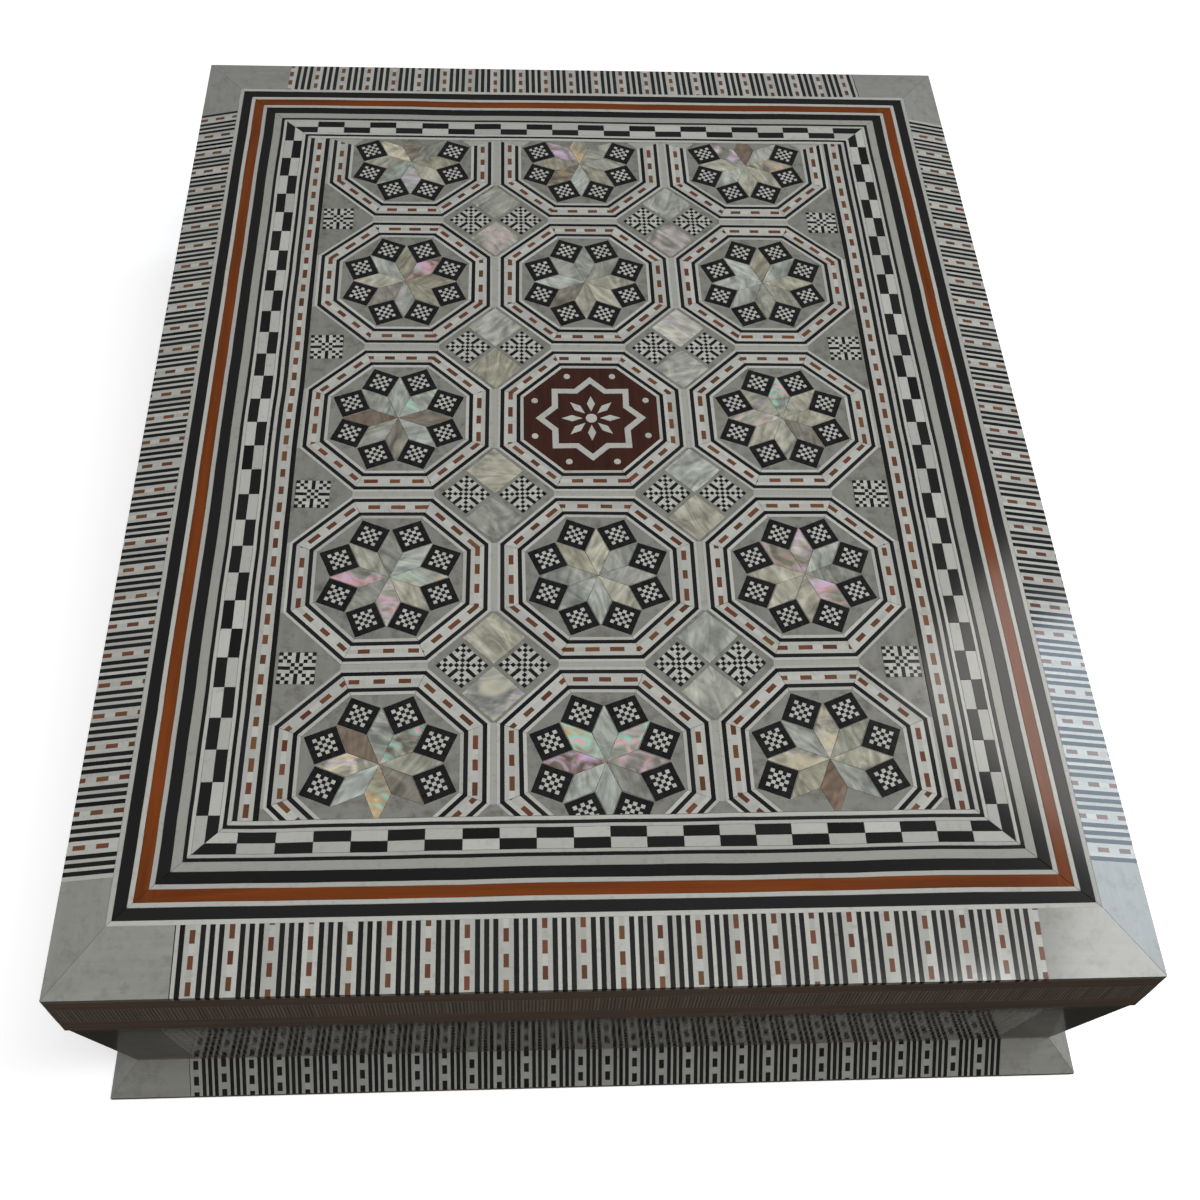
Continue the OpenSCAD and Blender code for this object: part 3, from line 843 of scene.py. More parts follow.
@dataclass(frozen=True)
class Tessera(Finish):
    """Bone, dyed wood or plastic cut into small inlay pieces."""

    light: float = 0.2
    hue: float = 0.02
    stain: Colour = (0.1, 0.08, 0.05, 1.0)
    stained: float = 0.25

    def dress(self, build: Tree, shader: Node) -> None:
        """Differs from piece to piece and takes on stains and fine grain.

        Args:
            build: Calls for the material's tree.
            shader: The material's shader.
        """
        varied = build.group(Effect.PIECE_TONE, Colour=self.colour, Light=self.light, Hue=self.hue)[0]
        grain = build.group(Effect.RING_GRAIN, Across=900.0, Along=120.0, Wander=0.4)
        marks = build.group(Effect.SMUDGES, Size=60.0, Middle=self.rough, Spread=0.25)
        deep = build.math("MULTIPLY", build.math("SUBTRACT", grain["Fine"], 0.3), 0.35)
        lined = build.mix(deep, varied, self.stain)
        dirty = build.math("MULTIPLY", build.remap(marks["Small"], (0.56, 0.75)), self.stained)
        self.surface(build, shader, build.mix(dirty, lined, self.stain), marks["Roughness"])
        self.bump(build, shader, grain["Fine"], depth=0.02 * MM, strength=0.35)


@dataclass(frozen=True)
class Wood(Finish):
    """Wood with its grain along each side of the box."""

    deep: Colour = (0.05, 0.02, 0.01, 1.0)
    across: float = 420.0
    along: float = 16.0
    spread: float = 0.75

    def dress(self, build: Tree, shader: Node) -> None:
        """Streaked grain with darker pores.

        Args:
            build: Calls for the material's tree.
            shader: The material's shader.
        """
        grain = build.group(Effect.RING_GRAIN, Across=self.across, Along=self.along, Wander=0.8)
        marks = build.group(Effect.SMUDGES, Size=22.0, Middle=self.rough, Spread=0.3)
        streak = build.remap(grain["Streak"], (0.3, 0.72), (0.0, self.spread))
        pore = build.remap(grain["Fine"], (0.58, 0.75), (0.0, 0.6))
        pored = build.mix(pore, build.mix(streak, self.colour, self.deep), self.deep)
        cloud = build.remap(marks["Wide"], NOISE_RANGE, (0.82, 1.12))
        lit = build.add("HueSaturation", Value=cloud, Color=pored).outputs[0]
        self.surface(build, shader, lit, marks["Roughness"])
        self.bump(build, shader, grain["Fine"], depth=0.03 * MM, strength=0.4)


@dataclass(frozen=True)
class Horn(Finish):
    """Plain pale sheet with soft streaks, used for plates and grounds."""

    pale: Colour = (0.5, 0.5, 0.47, 1.0)
    across: float = 500.0
    along: float = 45.0
    spread: float = 0.55
    speckle: float = 0.35
    yellow: Colour = tint(128, 112, 84)
    dirt: Colour = tint(92, 86, 76)

    def dress(self, build: Tree, shader: Node) -> None:
        """Brushed streaks between two greys with a few yellow stains and specks of dirt.

        Args:
            build: Calls for the material's tree.
            shader: The material's shader.
        """
        grain = build.group(Effect.RING_GRAIN, Across=self.across, Along=self.along, Wander=1.2)
        marks = build.group(Effect.SMUDGES, Size=40.0, Middle=self.rough, Spread=0.3)
        varied = build.group(Effect.PIECE_TONE, Colour=self.colour, Light=0.1, Hue=0.01)[0]
        streak = build.remap(grain["Streak"], (0.35, 0.68), (0.0, self.spread))
        stain = build.remap(marks["Wide"], (0.6, 0.8), (0.0, 0.3))
        speck = build.remap(marks["Small"], (0.5, 0.75), (0.0, self.speckle))
        aged = build.mix(stain, build.mix(streak, varied, self.pale), self.yellow)
        self.surface(build, shader, build.mix(speck, aged, self.dirt), marks["Roughness"])
        self.bump(build, shader, grain["Streak"], depth=0.03 * MM, strength=0.3)


@dataclass(frozen=True)
class Pearl(Finish):
    """Mother of pearl whose colours play from piece to piece, with painted iridescent glints on a few pieces.
    """

    dark: Colour = (0.28, 0.2, 0.14, 1.0)
    # Share of the painted iridescent glints on the pieces that take them
    play: float = 0.9
    light: float = 1.0

    def tones(self) -> Stops:
        """Grey, cream and brown shell, from piece to piece.

        Returns:
            Places and colours.
        """
        return [
            (0.0, tint(181, 186, 177)),
            (0.2, tint(144, 145, 135)),
            (0.4, self.colour),
            (0.6, tint(152, 147, 128)),
            (0.75, tint(184, 189, 181)),
            (0.9, tint(142, 136, 124)),
            (1.0, self.dark),
        ]

    def painted_glints(self) -> Stops:
        """Pink, violet, cream, copper and green of the painted iridescent glints.

        Returns:
            Places and colours.
        """
        return [
            (0.05, tint(246, 178, 178)),
            (0.3, tint(212, 188, 232)),
            (0.5, tint(240, 232, 198)),
            (0.7, tint(214, 172, 122)),
            (0.9, tint(160, 222, 204)),
        ]

    def dress(self, build: Tree, shader: Node) -> None:
        """Shell with ripples, and bright coloured patches of painted iridescent glints on a few pieces.

        Args:
            build: Calls for the material's tree.
            shader: The material's shader.
        """
        figure = build.group(Effect.SHELL_FIGURE, Size=150.0, Lines=95.0)
        # Ripples of the shell's figure, with their bright crests partly painted highlight
        ripple = build.remap(figure["Line"], NOISE_RANGE, (0.62, 1.3))
        cloud = build.remap(figure["Patch"], NOISE_RANGE, (0.68, 1.24))
        light = build.math("MULTIPLY", build.math("MULTIPLY", ripple, cloud), self.light)
        shell = build.ramp(figure["Tone"], self.tones())
        rippled = build.add("HueSaturation", Value=light, Color=shell).outputs[0]
        # Painted glints: bright iridescent colours mixed into the cloudy patches of some pieces
        kind = build.math("FRACT", build.math("MULTIPLY_ADD", figure["Tone"], GLINT_DRAW, figure["Line"]))
        drawn = build.math("FRACT", build.math("MULTIPLY", figure["Tone"], CHANCE_DRAW))
        taken = build.remap(drawn, (0.6, 0.8), (0.0, self.play))
        share = build.math("MULTIPLY", taken, build.remap(figure["Patch"], (0.42, 0.66)))
        rough = build.math("MULTIPLY_ADD", figure["Patch"], 0.3, 0.2)
        self.surface(build, shader, build.mix(share, rippled, build.ramp(kind, self.painted_glints())), rough)
        self.bump(build, shader, figure["Line"], depth=0.02 * MM, strength=0.25)


@dataclass(frozen=True)
class Cloth(Finish):
    """Short pile: velvet or felt."""

    deep: Colour = (0.02, 0.0, 0.0, 1.0)
    sheen: float = 0.6

    def dress(self, build: Tree, shader: Node) -> None:
        """Brushed patches of pile with a fine nap.

        Args:
            build: Calls for the material's tree.
            shader: The material's shader.
        """
        marks = build.group(Effect.SMUDGES, Size=28.0, Middle=0.9, Spread=0.15)
        place = build.add("TexCoord").outputs["Object"]
        nap = build.noise(place, 2600.0, Detail=2.0, Roughness=0.7)
        patched = build.mix(build.remap(marks["Wide"], NOISE_RANGE), self.deep, self.colour)
        fleck = build.remap(nap, (0.35, 0.7), (0.0, 0.45))
        self.surface(build, shader, build.mix(fleck, patched, self.deep), marks["Roughness"])
        shader.inputs["Sheen Weight"].default_value = self.sheen
        shader.inputs["Sheen Roughness"].default_value = SHEEN_ROUGHNESS
        shader.inputs["Sheen Tint"].default_value = self.colour
        self.bump(build, shader, nap, depth=0.25 * MM, strength=0.7)


@dataclass(frozen=True)
class Brass(Finish):
    """Rolled brass with dull spots."""

    dull: Colour = (0.2, 0.12, 0.04, 1.0)

    def dress(self, build: Tree, shader: Node) -> None:
        """Tarnish in patches and fine rolling lines.

        Args:
            build: Calls for the material's tree.
            shader: The material's shader.
        """
        marks = build.group(Effect.SMUDGES, Size=90.0, Middle=self.rough, Spread=0.5)
        grain = build.group(Effect.RING_GRAIN, Across=2200.0, Along=60.0, Wander=0.1)
        worn = build.remap(marks["Wide"], (0.45, 0.7), (0.0, 0.7))
        self.surface(build, shader, build.mix(worn, self.colour, self.dull), marks["Roughness"])
        shader.inputs["Metallic"].default_value = 1.0
        self.bump(build, shader, grain["Fine"], depth=0.02 * MM, strength=0.4)


BONE = Tessera("bone_white", tint(194, 194, 187), light=0.26, stain=tint(124, 112, 92), stained=0.3)
GREY_BONE = Tessera("bone_grey", tint(172, 172, 164), light=0.16, stain=tint(110, 100, 84), stained=0.3)
CONTACT_BONE = replace(
    GREY_BONE, name="bone_contact", colour=tint(178, 178, 170), stain=tint(112, 102, 86), stained=0.4
)
# Darker, browner copy of the bone for the wall veneer: painted shade of the walls under the lid
SHADED_WALL_BONE = Tessera("bone_wall_shaded", tint(139, 132, 118), light=0.2, stain=tint(92, 80, 64), stained=0.5)
EBONY = Tessera("ebony_black", tint(28, 28, 29), light=0.8, hue=0.05, stain=tint(44, 38, 32), stained=0.5)
RED = Tessera(
    "dash_red_wood", tint(113, 72, 50), light=0.5, hue=0.03, stain=tint(78, 54, 38), stained=0.6
)
LINE_DARK = Tessera("line_brown", tint(130, 110, 93), light=0.4, stain=tint(84, 68, 56))
LINE_PALE = Tessera("line_grey", tint(168, 155, 137), light=0.4, stain=tint(112, 100, 84))
ORANGE = Wood("band_orange_wood", tint(132, 65, 22), deep=tint(92, 44, 14), across=520.0, along=22.0)
DARK_WOOD = Wood("strip_dark_wood", tint(156, 130, 108), deep=tint(114, 92, 76), across=700.0, along=18.0)
CORE_WOOD = Wood("core_beech", tint(150, 112, 78), deep=tint(104, 72, 46), coat=0.0, rough=0.6)
BROWN = Wood("medallion_brown_wood", tint(76, 42, 33), deep=tint(52, 29, 24), across=600.0, along=60.0)
PLATE = Horn("corner_plate_horn", tint(156, 156, 149), pale=tint(171, 171, 164), rough=0.34, spread=0.4)
# Darker, browner copy of the plate horn for the wall's corner plates: painted shade of the walls under the
# lid
SHADED_WALL_PLATE = Horn(
    "wall_plate_horn_shaded", tint(116, 108, 96), pale=tint(130, 122, 108), coat=0.5, spread=0.4
)
GROUND = Horn(
    "field_ground_horn", tint(134, 133, 126), pale=tint(152, 151, 144), across=320.0, along=70.0, speckle=0.8
)
PEARL = Pearl("mother_of_pearl", tint(186, 183, 165), dark=tint(126, 107, 93))
PALE_PEARL = Pearl(
    "mother_of_pearl_pale", tint(192, 191, 178), dark=tint(176, 175, 163), play=0.3, light=1.13
)
VELVET = Cloth("lining_velvet", tint(128, 18, 36), coat=0.0, deep=tint(70, 8, 18))
FELT = Cloth("base_felt_green", tint(44, 74, 54), coat=0.0, deep=tint(26, 46, 34), sheen=0.2)
BRASS = Brass("hinge_brass", tint(212, 170, 96), coat=0.0, rough=0.34, dull=tint(120, 88, 44))


@dataclass(frozen=True)
class StripeCell:
    """One repeat of striped veneer: a pale column with dashes, then lines in turn."""

    column_w: float
    black_w: float
    white_w: float
    dash_w: float
    dash_len: float
    dash_step: float
    dash: Finish
    pale: Finish
    black_lines: int = 3
    variants: int = 6
    end_margin: float = 0.2 * MM

    @property
    def period(self) -> float:
        """Width of one repeat."""
        return self.column_w + self.black_lines * self.black_w + (self.black_lines - 1) * self.white_w

    def dash_ends(self, height: float, phase: float) -> list[float]:
        """Where dashes begin and end along a stripe.

        Args:
            height: Length of the stripe.
            phase: Share of a dash step that the dashes are moved by.

        Returns:
            The places that lie clear of the stripe's own ends.
        """
        ends = []
        start = (phase - 1) * self.dash_step
        while start < height:
            ends += [start, start + self.dash_len]
            start += self.dash_step
        return [place for place in ends if self.end_margin < place < height - self.end_margin]

    def build(self, height: float, phase: float) -> Piece:
        """Models one repeat as a flat sheet from the origin to the right and up.

        Args:
            height: Length of the stripes.
            phase: Share of a dash step that the dashes are moved by.

        Returns:
            The sheet.
        """
        cell = Bench.sheet(
            "stripe_cell",
            Vector((0, 0, 0)),
            Vector((self.period, height, 0)),
            [self.pale.material(), EBONY.material(), self.dash.material()],
        )
        line_step = self.black_w + self.white_w
        line_starts = [self.column_w + count * line_step for count in range(self.black_lines)]
        line_edges = [place for start in line_starts for place in (start, start + self.black_w)]
        dash_low = (self.column_w - self.dash_w) / 2
        dash_high = dash_low + self.dash_w
        in_lane = Bench.between(dash_low, dash_high)
        with Bench.editing(cell):
            Bench.saw(cell, ACROSS, [place for place in line_edges if place < self.period])
            Bench.saw(cell, ACROSS, (dash_low, dash_high), Bench.between(0, self.column_w))
            Bench.saw(cell, ALONG, self.dash_ends(height, phase), in_lane)

        def shade(middle: Vector) -> int:
            """Slot of a face by its place.

            Args:
                middle: The face's middle.

            Returns:
                The slot of the pale column, a black line or a dash.
            """
            if middle.x > self.column_w:
                return int(any(low < middle.x < low + self.black_w for low in line_starts))
            in_dash = (middle.y / self.dash_step - phase) % 1 < self.dash_len / self.dash_step
            return 2 if in_lane(middle) and in_dash else 0

        Bench.paint(cell, shade)
        return cell

    def run(self, name: str, length: float, height: float, draw: random.Random) -> Piece:
        """Lays repeats side by side into one flat sheet, centred on the origin along its length.

        Args:
            name: Name of the sheet.
            length: Length of the sheet.
            height: Length of the stripes.
            draw: Source of the dashes' phases.

        Returns:
            The sheet, open at its back.
        """
        first = draw.random()
        masters = [self.build(height, (first + turn / self.variants) % 1) for turn in range(self.variants)]
        whole = Bench.row(name, self.period, length, lambda: draw.choice(masters))
        Bench.discard(masters)
        return whole


BORDER_CELL = StripeCell(
    column_w=2.95 * MM,
    black_w=1.0 * MM,
    white_w=0.75 * MM,
    dash_w=1.05 * MM,
    dash_len=2.6 * MM,
    dash_step=4.9 * MM,
    dash=RED,
    pale=BONE,
)
# The wall veneer's pale columns take the bone with painted shade
WALL_CELL = StripeCell(
    column_w=2.6 * MM,
    black_w=0.83 * MM,
    white_w=0.5 * MM,
    dash_w=1.1 * MM,
    dash_len=2.1 * MM,
    dash_step=3.7 * MM,
    dash=EBONY,
    pale=SHADED_WALL_BONE,
)
PLINTH_CELL = replace(WALL_CELL, pale=GREY_BONE)


@dataclass
class Slope:
    """A flat strip along a side of the box, from its lower edge to its upper one.

    Each edge is an inset from the lid's outline and a height.
    """

    side: Side
    low: tuple[float, float]
    high: tuple[float, float]
    length: float
    back: Vector

    @property
    def height(self) -> float:
        """Width of the strip across its slope."""
        return math.hypot(self.high[0] - self.low[0], self.high[1] - self.low[1])

    def place(self) -> Matrix:
        """Takes a flat sheet onto the slope.

        Returns:
            The sheet's place.
        """
        upward = Vector((0, self.high[0] - self.low[0], self.high[1] - self.low[1])).normalized()
        outward = ACROSS.cross(upward)
        seat = Vector((0, self.low[0] - OUT.half_depth(self.side), self.low[1]))
        turn = Matrix((ACROSS, upward, outward)).transposed().to_4x4()
        return self.side.turn @ Matrix.Translation(seat) @ turn

    def lay(self, piece: Piece) -> None:
        """Puts a flat sheet on the slope and gives it its thickness."""
        piece.data.transform(self.place())
        Bench.back(piece, self.side.turn @ self.back)

    def striped(self, part: str, cell: StripeCell, draw: random.Random) -> Piece:
        """Covers the slope with striped veneer.

        Args:
            part: The part of the box that the slope belongs to.
            cell: The veneer's repeat.
            draw: Source of the dashes' phases.

        Returns:
            The veneer.
        """
        piece = cell.run(f"striped_{part}_{self.side.word}", self.length, self.height, draw)
        self.lay(piece)
        return piece


@dataclass
class StripedSkins:
    """Striped veneer on the lid's border, the walls and the plinth."""

    draw: random.Random
    plinth_leg: float = 16 * MM

    def build(self) -> None:
        """Makes all striped pieces."""
        for side in Side:
            self.border(side)
            self.wall(side)
        self.plinth()

    def finish(self, piece: Piece, body: Body, node: str) -> None:
        """Gives a veneer its tones and fits it."""
        Bench.tone(piece, self.draw)
        Bench.fit(piece, body, "striped_veneer", node)

    def border(self, side: Side) -> None:
        """Makes the striped border of one side of the lid.

        Args:
            side: The side.
        """
        node = f"lid_border_{side.word}"
        low = (0, OUT.top - OUT.border_h)
        high = (OUT.border(side), OUT.top)
        slope = Slope(side, low, high, side.length_of(node), Vector((0, 0, -OUT.skin)))
        self.finish(slope.striped("border", BORDER_CELL, self.draw), Body.LID, node)

    def wall(self, side: Side) -> None:
        """Makes the striped veneer of one wall.

        Args:
            side: The side.
        """
        node = f"wall_veneer_{side.word}"
        low, high = [(OUT.wall_in(corner.z), corner.z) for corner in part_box(node)]
        slope = Slope(side, low, high, side.length_of(node), Vector((0, OUT.skin, 0)))
        self.finish(slope.striped("wall", WALL_CELL, self.draw), Body.BOX, node)

    def plinth(self) -> None:
        """Makes the striped veneer of the plinth's four slopes."""
        rise = OUT.plinth_top - OUT.slope_foot
        run = OUT.waist_in + OUT.foot_out
        back = Vector((0, OUT.skin * math.hypot(rise, run) / rise, 0))
        low = (-OUT.foot_out, OUT.slope_foot)
        high = (OUT.waist_in, OUT.plinth_top)
        pieces = []
        for side in Side:
            length = 2 * (OUT.half_span(side) - self.plinth_leg - OUT.glue)
            pieces.append(Slope(side, low, high, length, back).striped("plinth", PLINTH_CELL, self.draw))
        self.finish(Bench.join(pieces, "striped_plinth"), Body.BOX, "plinth_veneers")


@dataclass
class LineBands:
    """Bands of very fine upright lines on the lid's sides."""

    draw: random.Random
    lines: int = 24
    step: float = 0.7 * MM
    least_line: float = 0.4
    most_line: float = 0.62
    rear_low: float = 52.15 * MM

    def master(self, height: float) -> Piece:
        """Models one stretch of lines as a flat sheet.

        Args:
            height: Length of the lines.

        Returns:
            The sheet, from the origin to the right and up.
        """
        sheet = Bench.sheet(
            "line_stretch",
            Vector((0, 0, 0)),
            Vector((self.lines * self.step, height, 0)),
            [LINE_DARK.material(), LINE_PALE.material()],
        )
        places = [0.0]
        for line in range(self.lines):
            width = self.draw.uniform(self.least_line, self.most_line) * self.step
            places += [line * self.step + width, (line + 1) * self.step]
        with Bench.editing(sheet):
            Bench.saw(sheet, ACROSS, places[1:-1])

        def shade(middle: Vector) -> int:
            """Slot of a face by its place among the lines."""
            index = next(count for count, place in enumerate(places) if place > middle.x)
            return (index + 1) % 2

        Bench.paint(sheet, shade)
        return sheet

    def build(self) -> None:
        """Makes the four bands, mitred at the corners."""
        node = "lid_side_line_bands"
        low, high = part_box(node)
        pieces = []
        for side in Side:
            foot = self.rear_low if side is Side.REAR else low.z
            length = 2 * OUT.half_span(side)
            master = self.master(high.z - foot)
            band = Bench.row(f"line_band_{side.word}", self.lines * self.step, length, lambda: master)
            Bench.discard([master])
            Slope(side, (0, foot), (0, high.z), length, Vector((0, OUT.skin, 0))).lay(band)
            Bench.trim(band, self.mitres(side))
            pieces.append(band)
        whole = Bench.join(pieces, "fine_line_bands")
        Bench.tone(whole, self.draw)
        Bench.fit(whole, Body.LID, "fine_lines", node)

    def mitres(self, side: Side) -> list[Plane]:
        """Planes of the two mitres of a side.

        Args:
            side: The side.

        Returns:
            Points and outward directions.
        """
        corner = Vector((OUT.half_span(side) - OUT.glue, -OUT.half_depth(side), 0))
        planes = []
        for way in BOTH_WAYS:
            point = Vector((way * corner.x, corner.y, 0))
            planes.append((side.turn @ point, side.turn @ Vector((way, 1, 0))))
        return planes


@dataclass(frozen=True)
class DashLanes:
    """A strip of lanes across its width, one of them with dashes."""

    lanes: tuple[tuple[float, Finish], ...]
    dashed: int
    dash_w: float
    dash_len: float
    dash_step: float
    uneven: float = 0.12
    end_margin: float = 0.1 * MM

    @property
    def edges(self) -> list[float]:
        """Places of the lanes' edges across the strip."""
        return [sum(lane for lane, _ in self.lanes[:count]) for count in range(len(self.lanes) + 1)]

    def dashes(self, length: float, phase: float, draw: random.Random) -> list[tuple[float, float]]:
        """Lays out dashes with uneven ends along a strip.

        Args:
            length: Length of the strip.
            phase: Share of a dash step that the dashes are moved by.
            draw: Source of the uneven ends.

        Returns:
            Both ends of each dash.
        """
        laid = []
        start = -length / 2 + (phase - 1) * self.dash_step
        while start < length / 2:
            uneven = draw.uniform(-self.uneven, self.uneven) * self.dash_len
            laid.append((start + uneven, start + self.dash_len - uneven / 2))
            start += self.dash_step
        return laid

    def build(self, name: str, length: float, phase: float, draw: random.Random) -> Piece:
        """Models a flat strip from the origin to the right, centred along Y.

        Args:
            name: Name of the strip.
            length: Its length along Y.
            phase: Share of a dash step that the dashes are moved by.
            draw: Source of the dashes' uneven ends.

        Returns:
            The strip, open at its back.
        """
        finishes = list(dict.fromkeys(finish for _, finish in self.lanes)) + [RED]
        edges = self.edges
        low = Vector((0, -length / 2, 0))
        high = Vector((edges[-1], length / 2, 0))
        strip = Bench.sheet(name, low, high, [finish.material() for finish in finishes])
        lane_low, lane_high = edges[self.dashed], edges[self.dashed + 1]
        middle_x = (lane_low + lane_high) / 2
        dash_edges = (middle_x - self.dash_w / 2, middle_x + self.dash_w / 2)
        in_dash = Bench.between(*dash_edges)
        dashes = self.dashes(length, phase, draw)
        ends = [place for both in dashes for place in both if abs(place) < length / 2 - self.end_margin]
        with Bench.editing(strip):
            Bench.saw(strip, ACROSS, edges[1:-1])
            Bench.saw(strip, ACROSS, dash_edges, Bench.between(lane_low, lane_high))
            Bench.saw(strip, ALONG, ends, in_dash)

        def shade(middle: Vector) -> int:
            """Slot of a face by its lane.

            Args:
                middle: The face's middle.

            Returns:
                The slot of a dash or of the lane's finish.
            """
            if in_dash(middle) and any(start < middle.y < end for start, end in dashes):
                return len(finishes) - 1
            lane = next(count for count in range(len(self.lanes)) if middle.x < edges[count + 1])
            return finishes.index(self.lanes[lane][1])

        Bench.paint(strip, shade)
        return strip


FRAME_LANES = DashLanes(
    lanes=((0.75 * MM, BONE), (0.95 * MM, EBONY), (3.0 * MM, BONE), (0.95 * MM, EBONY), (0.65 * MM, BONE)),
    dashed=2,
    dash_w=1.1 * MM,
    dash_len=2.85 * MM,
    dash_step=5.4 * MM,
)
SIDE_LANES = DashLanes(
    lanes=((1.05 * MM, EBONY), (3.0 * MM, BONE), (1.0 * MM, EBONY)),
    dashed=1,
    dash_w=1.15 * MM,
    dash_len=2.7 * MM,
    dash_step=5.1 * MM,
)


@dataclass(frozen=True)
class HandCut:
    """The slight wander of hand-cut inlay, alike for all pieces on the lid's top."""

    reach: float = 0.26 * MM
    wave: float = 28 * MM
    finer: float = 2.7
    calm: float = 5 * MM
    step: float = 6 * MM

    def split(self, piece: Piece) -> None:
        """Cuts a long piece across, so that it can bend.

        Args:
            piece: The piece.
        """
        with Bench.editing(piece):
            for way, half in ((ACROSS, OUT.half_w), (ALONG, OUT.half_l)):
                cuts = math.ceil(2 * half / self.step)
                Bench.saw(piece, way, [count * self.step - half for count in range(1, cuts)])

    def bend(self, piece: Piece) -> None:
        """Moves each point of a piece a little along the lid, and none beside the sloped border.

        Args:
            piece: The piece.
        """
        half_x = OUT.half_w - OUT.side_border
        half_y = OUT.half_l - OUT.end_border
        for vert in piece.data.vertices:
            room = min(half_x - abs(vert.co.x), half_y - abs(vert.co.y))
            share = max(0.0, min(1.0, room / self.calm))
            place = Vector((vert.co.x, vert.co.y, 0)) / self.wave
            wander = noise.noise_vector(place) + noise.noise_vector(place * self.finer) / 2
            vert.co += Vector((wander.x, wander.y, 0)) * self.reach * share


HAND = HandCut()


@dataclass
class OctagonField:
    """The field of octagons, stars and crossings."""

    draw: random.Random
    columns: int = 3
    rows_out: int = 2
    sides: int = 8
    gap: float = 1.4 * MM
    shift: float = 1.2 * MM
    strip_w: float = 6.3 * MM
    star_margin: float = 3.1 * MM
    tile_gap: float = 0.3 * MM
    tile_less: float = 0.4 * MM
    tile_cells: int = 7
    tile_border: float = 0.185
    tile_slip: float = 0.07 * MM
    tile_twist: float = 2.0
    mosaic_less: float = 2.5 * MM
    mosaic_gap: float = 1.1 * MM
    mosaic_cells: int = 9
    mosaic_slip: float = 0.1 * MM
    mosaic_twist: float = 1.6
    edge_margin: float = 0.7 * MM
    least_piece: float = 1 * MM
    inlay: float = 1.2 * MM
    ground_sink: float = 0.06 * MM

    def __post_init__(self) -> None:
        """Works out the pattern from the size of the field."""
        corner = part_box("field_ground")[1]
        self.half_x = corner.x + OUT.glue
        self.half_y = corner.y + OUT.glue
        self.pitch = 2 * self.half_x / self.columns
        self.octagon_w = self.pitch - self.gap
        self.inside_w = self.octagon_w - 2 * self.strip_w
        self.eighth = OCTAGON_TURN / 2
        self.star_tip = self.inside_w / 2 - self.star_margin
        self.diamond = self.star_tip / 2 / math.cos(self.eighth)
        self.tile_side = self.diamond - self.tile_less
        self.tile_r = self.diamond + self.tile_side / math.sqrt(2) + self.tile_gap
        self.mosaic_side = self.pitch / math.sqrt(2) - self.octagon_w / 2 - self.mosaic_less
        self.back = Vector((0, 0, -self.inlay))

    def octagons(self) -> Iterator[tuple[int, float, float]]:
        """Goes through the octagons, row by row.

        Returns:
            The row and the middle of each.
        """
        for row in range(-self.rows_out, self.rows_out + 1):
            for column in range(self.columns):
                yield row, (column - (self.columns - 1) / 2) * self.pitch, row * self.pitch + self.shift

    def stars(self) -> Iterator[tuple[int, float, float]]:
        """The octagons that hold a star: all but the middle one."""
        return (spot for spot in self.octagons() if spot[0] != 0 or not self.in_middle(spot[1]))

    def in_middle(self, x: float) -> bool:
        """Whether a place lies in the middle column."""
        return abs(x) < self.gap

    def crossing_rows(self) -> list[float]:
        """Places of the crossings between the rows, along Y."""
        return [(row + 0.5) * self.pitch + self.shift for row in range(-self.rows_out, self.rows_out)]

    def in_field(self, along: float) -> bool:
        """Whether a place along Y lies far enough inside the field for a piece to be set there."""
        return abs(along) < self.half_y - self.least_piece

    def edge_planes(self) -> list[Plane]:
        """Planes of the field's front and rear edges."""
        reach = self.half_y - OUT.glue
        return [(ALONG * (way * reach), ALONG * way) for way in BOTH_WAYS]

    def build(self) -> None:
        """Makes all pieces of the field."""
        self.frames()
        self.side_strips()
        self.tiles()
        self.mosaics()
        self.diamonds()
        self.flat_pieces()

    def finish(self, piece: Piece, slot: str, node: str, by_island: bool = False) -> None:
        """Gives a piece of the field its tones and its wander and fits it.

        Args:
            piece: The piece.
            slot: Passed on to Bench.fit.
            node: The node that it replaces.
            by_island: Whether all faces of a loose part share a tone.
        """
        Bench.tone(piece, self.draw, by_island)
        HAND.bend(piece)
        Bench.fit(piece, Body.LID, slot, node)

    def gather(self, laid: Sequence[Piece], masters: Sequence[Piece], name: str) -> Piece:
        """Joins copies into one piece, cut at the edges of the field.

        Args:
            laid: The copies.
            masters: What they were copied from.
            name: Name of the piece.

        Returns:
            The piece.
        """
        whole = Bench.join(laid, name)
        Bench.discard(masters)
        Bench.trim(whole, self.edge_planes())
        return whole

    def frame_strip(self, turn: int) -> Piece:
        """Models a mitred strip of a frame, at the right of its octagon.

        Args:
            turn: Number of the strip, which moves its dashes.

        Returns:
            The strip with its thickness.
        """
        length = self.octagon_w * math.tan(self.eighth)
        strip = FRAME_LANES.build("frame_strip", length, turn / self.sides, self.draw)
        strip.data.transform(Matrix.Translation((self.inside_w / 2, 0, OUT.top)))
        with Bench.editing(strip):
            for way in BOTH_WAYS:
                mitre = Vector((-math.sin(self.eighth), way * math.cos(self.eighth), 0))
                Bench.cut(strip, (ALONG * (-way * OUT.glue), mitre), clear=True)
        Bench.back(strip, self.back)
        return strip

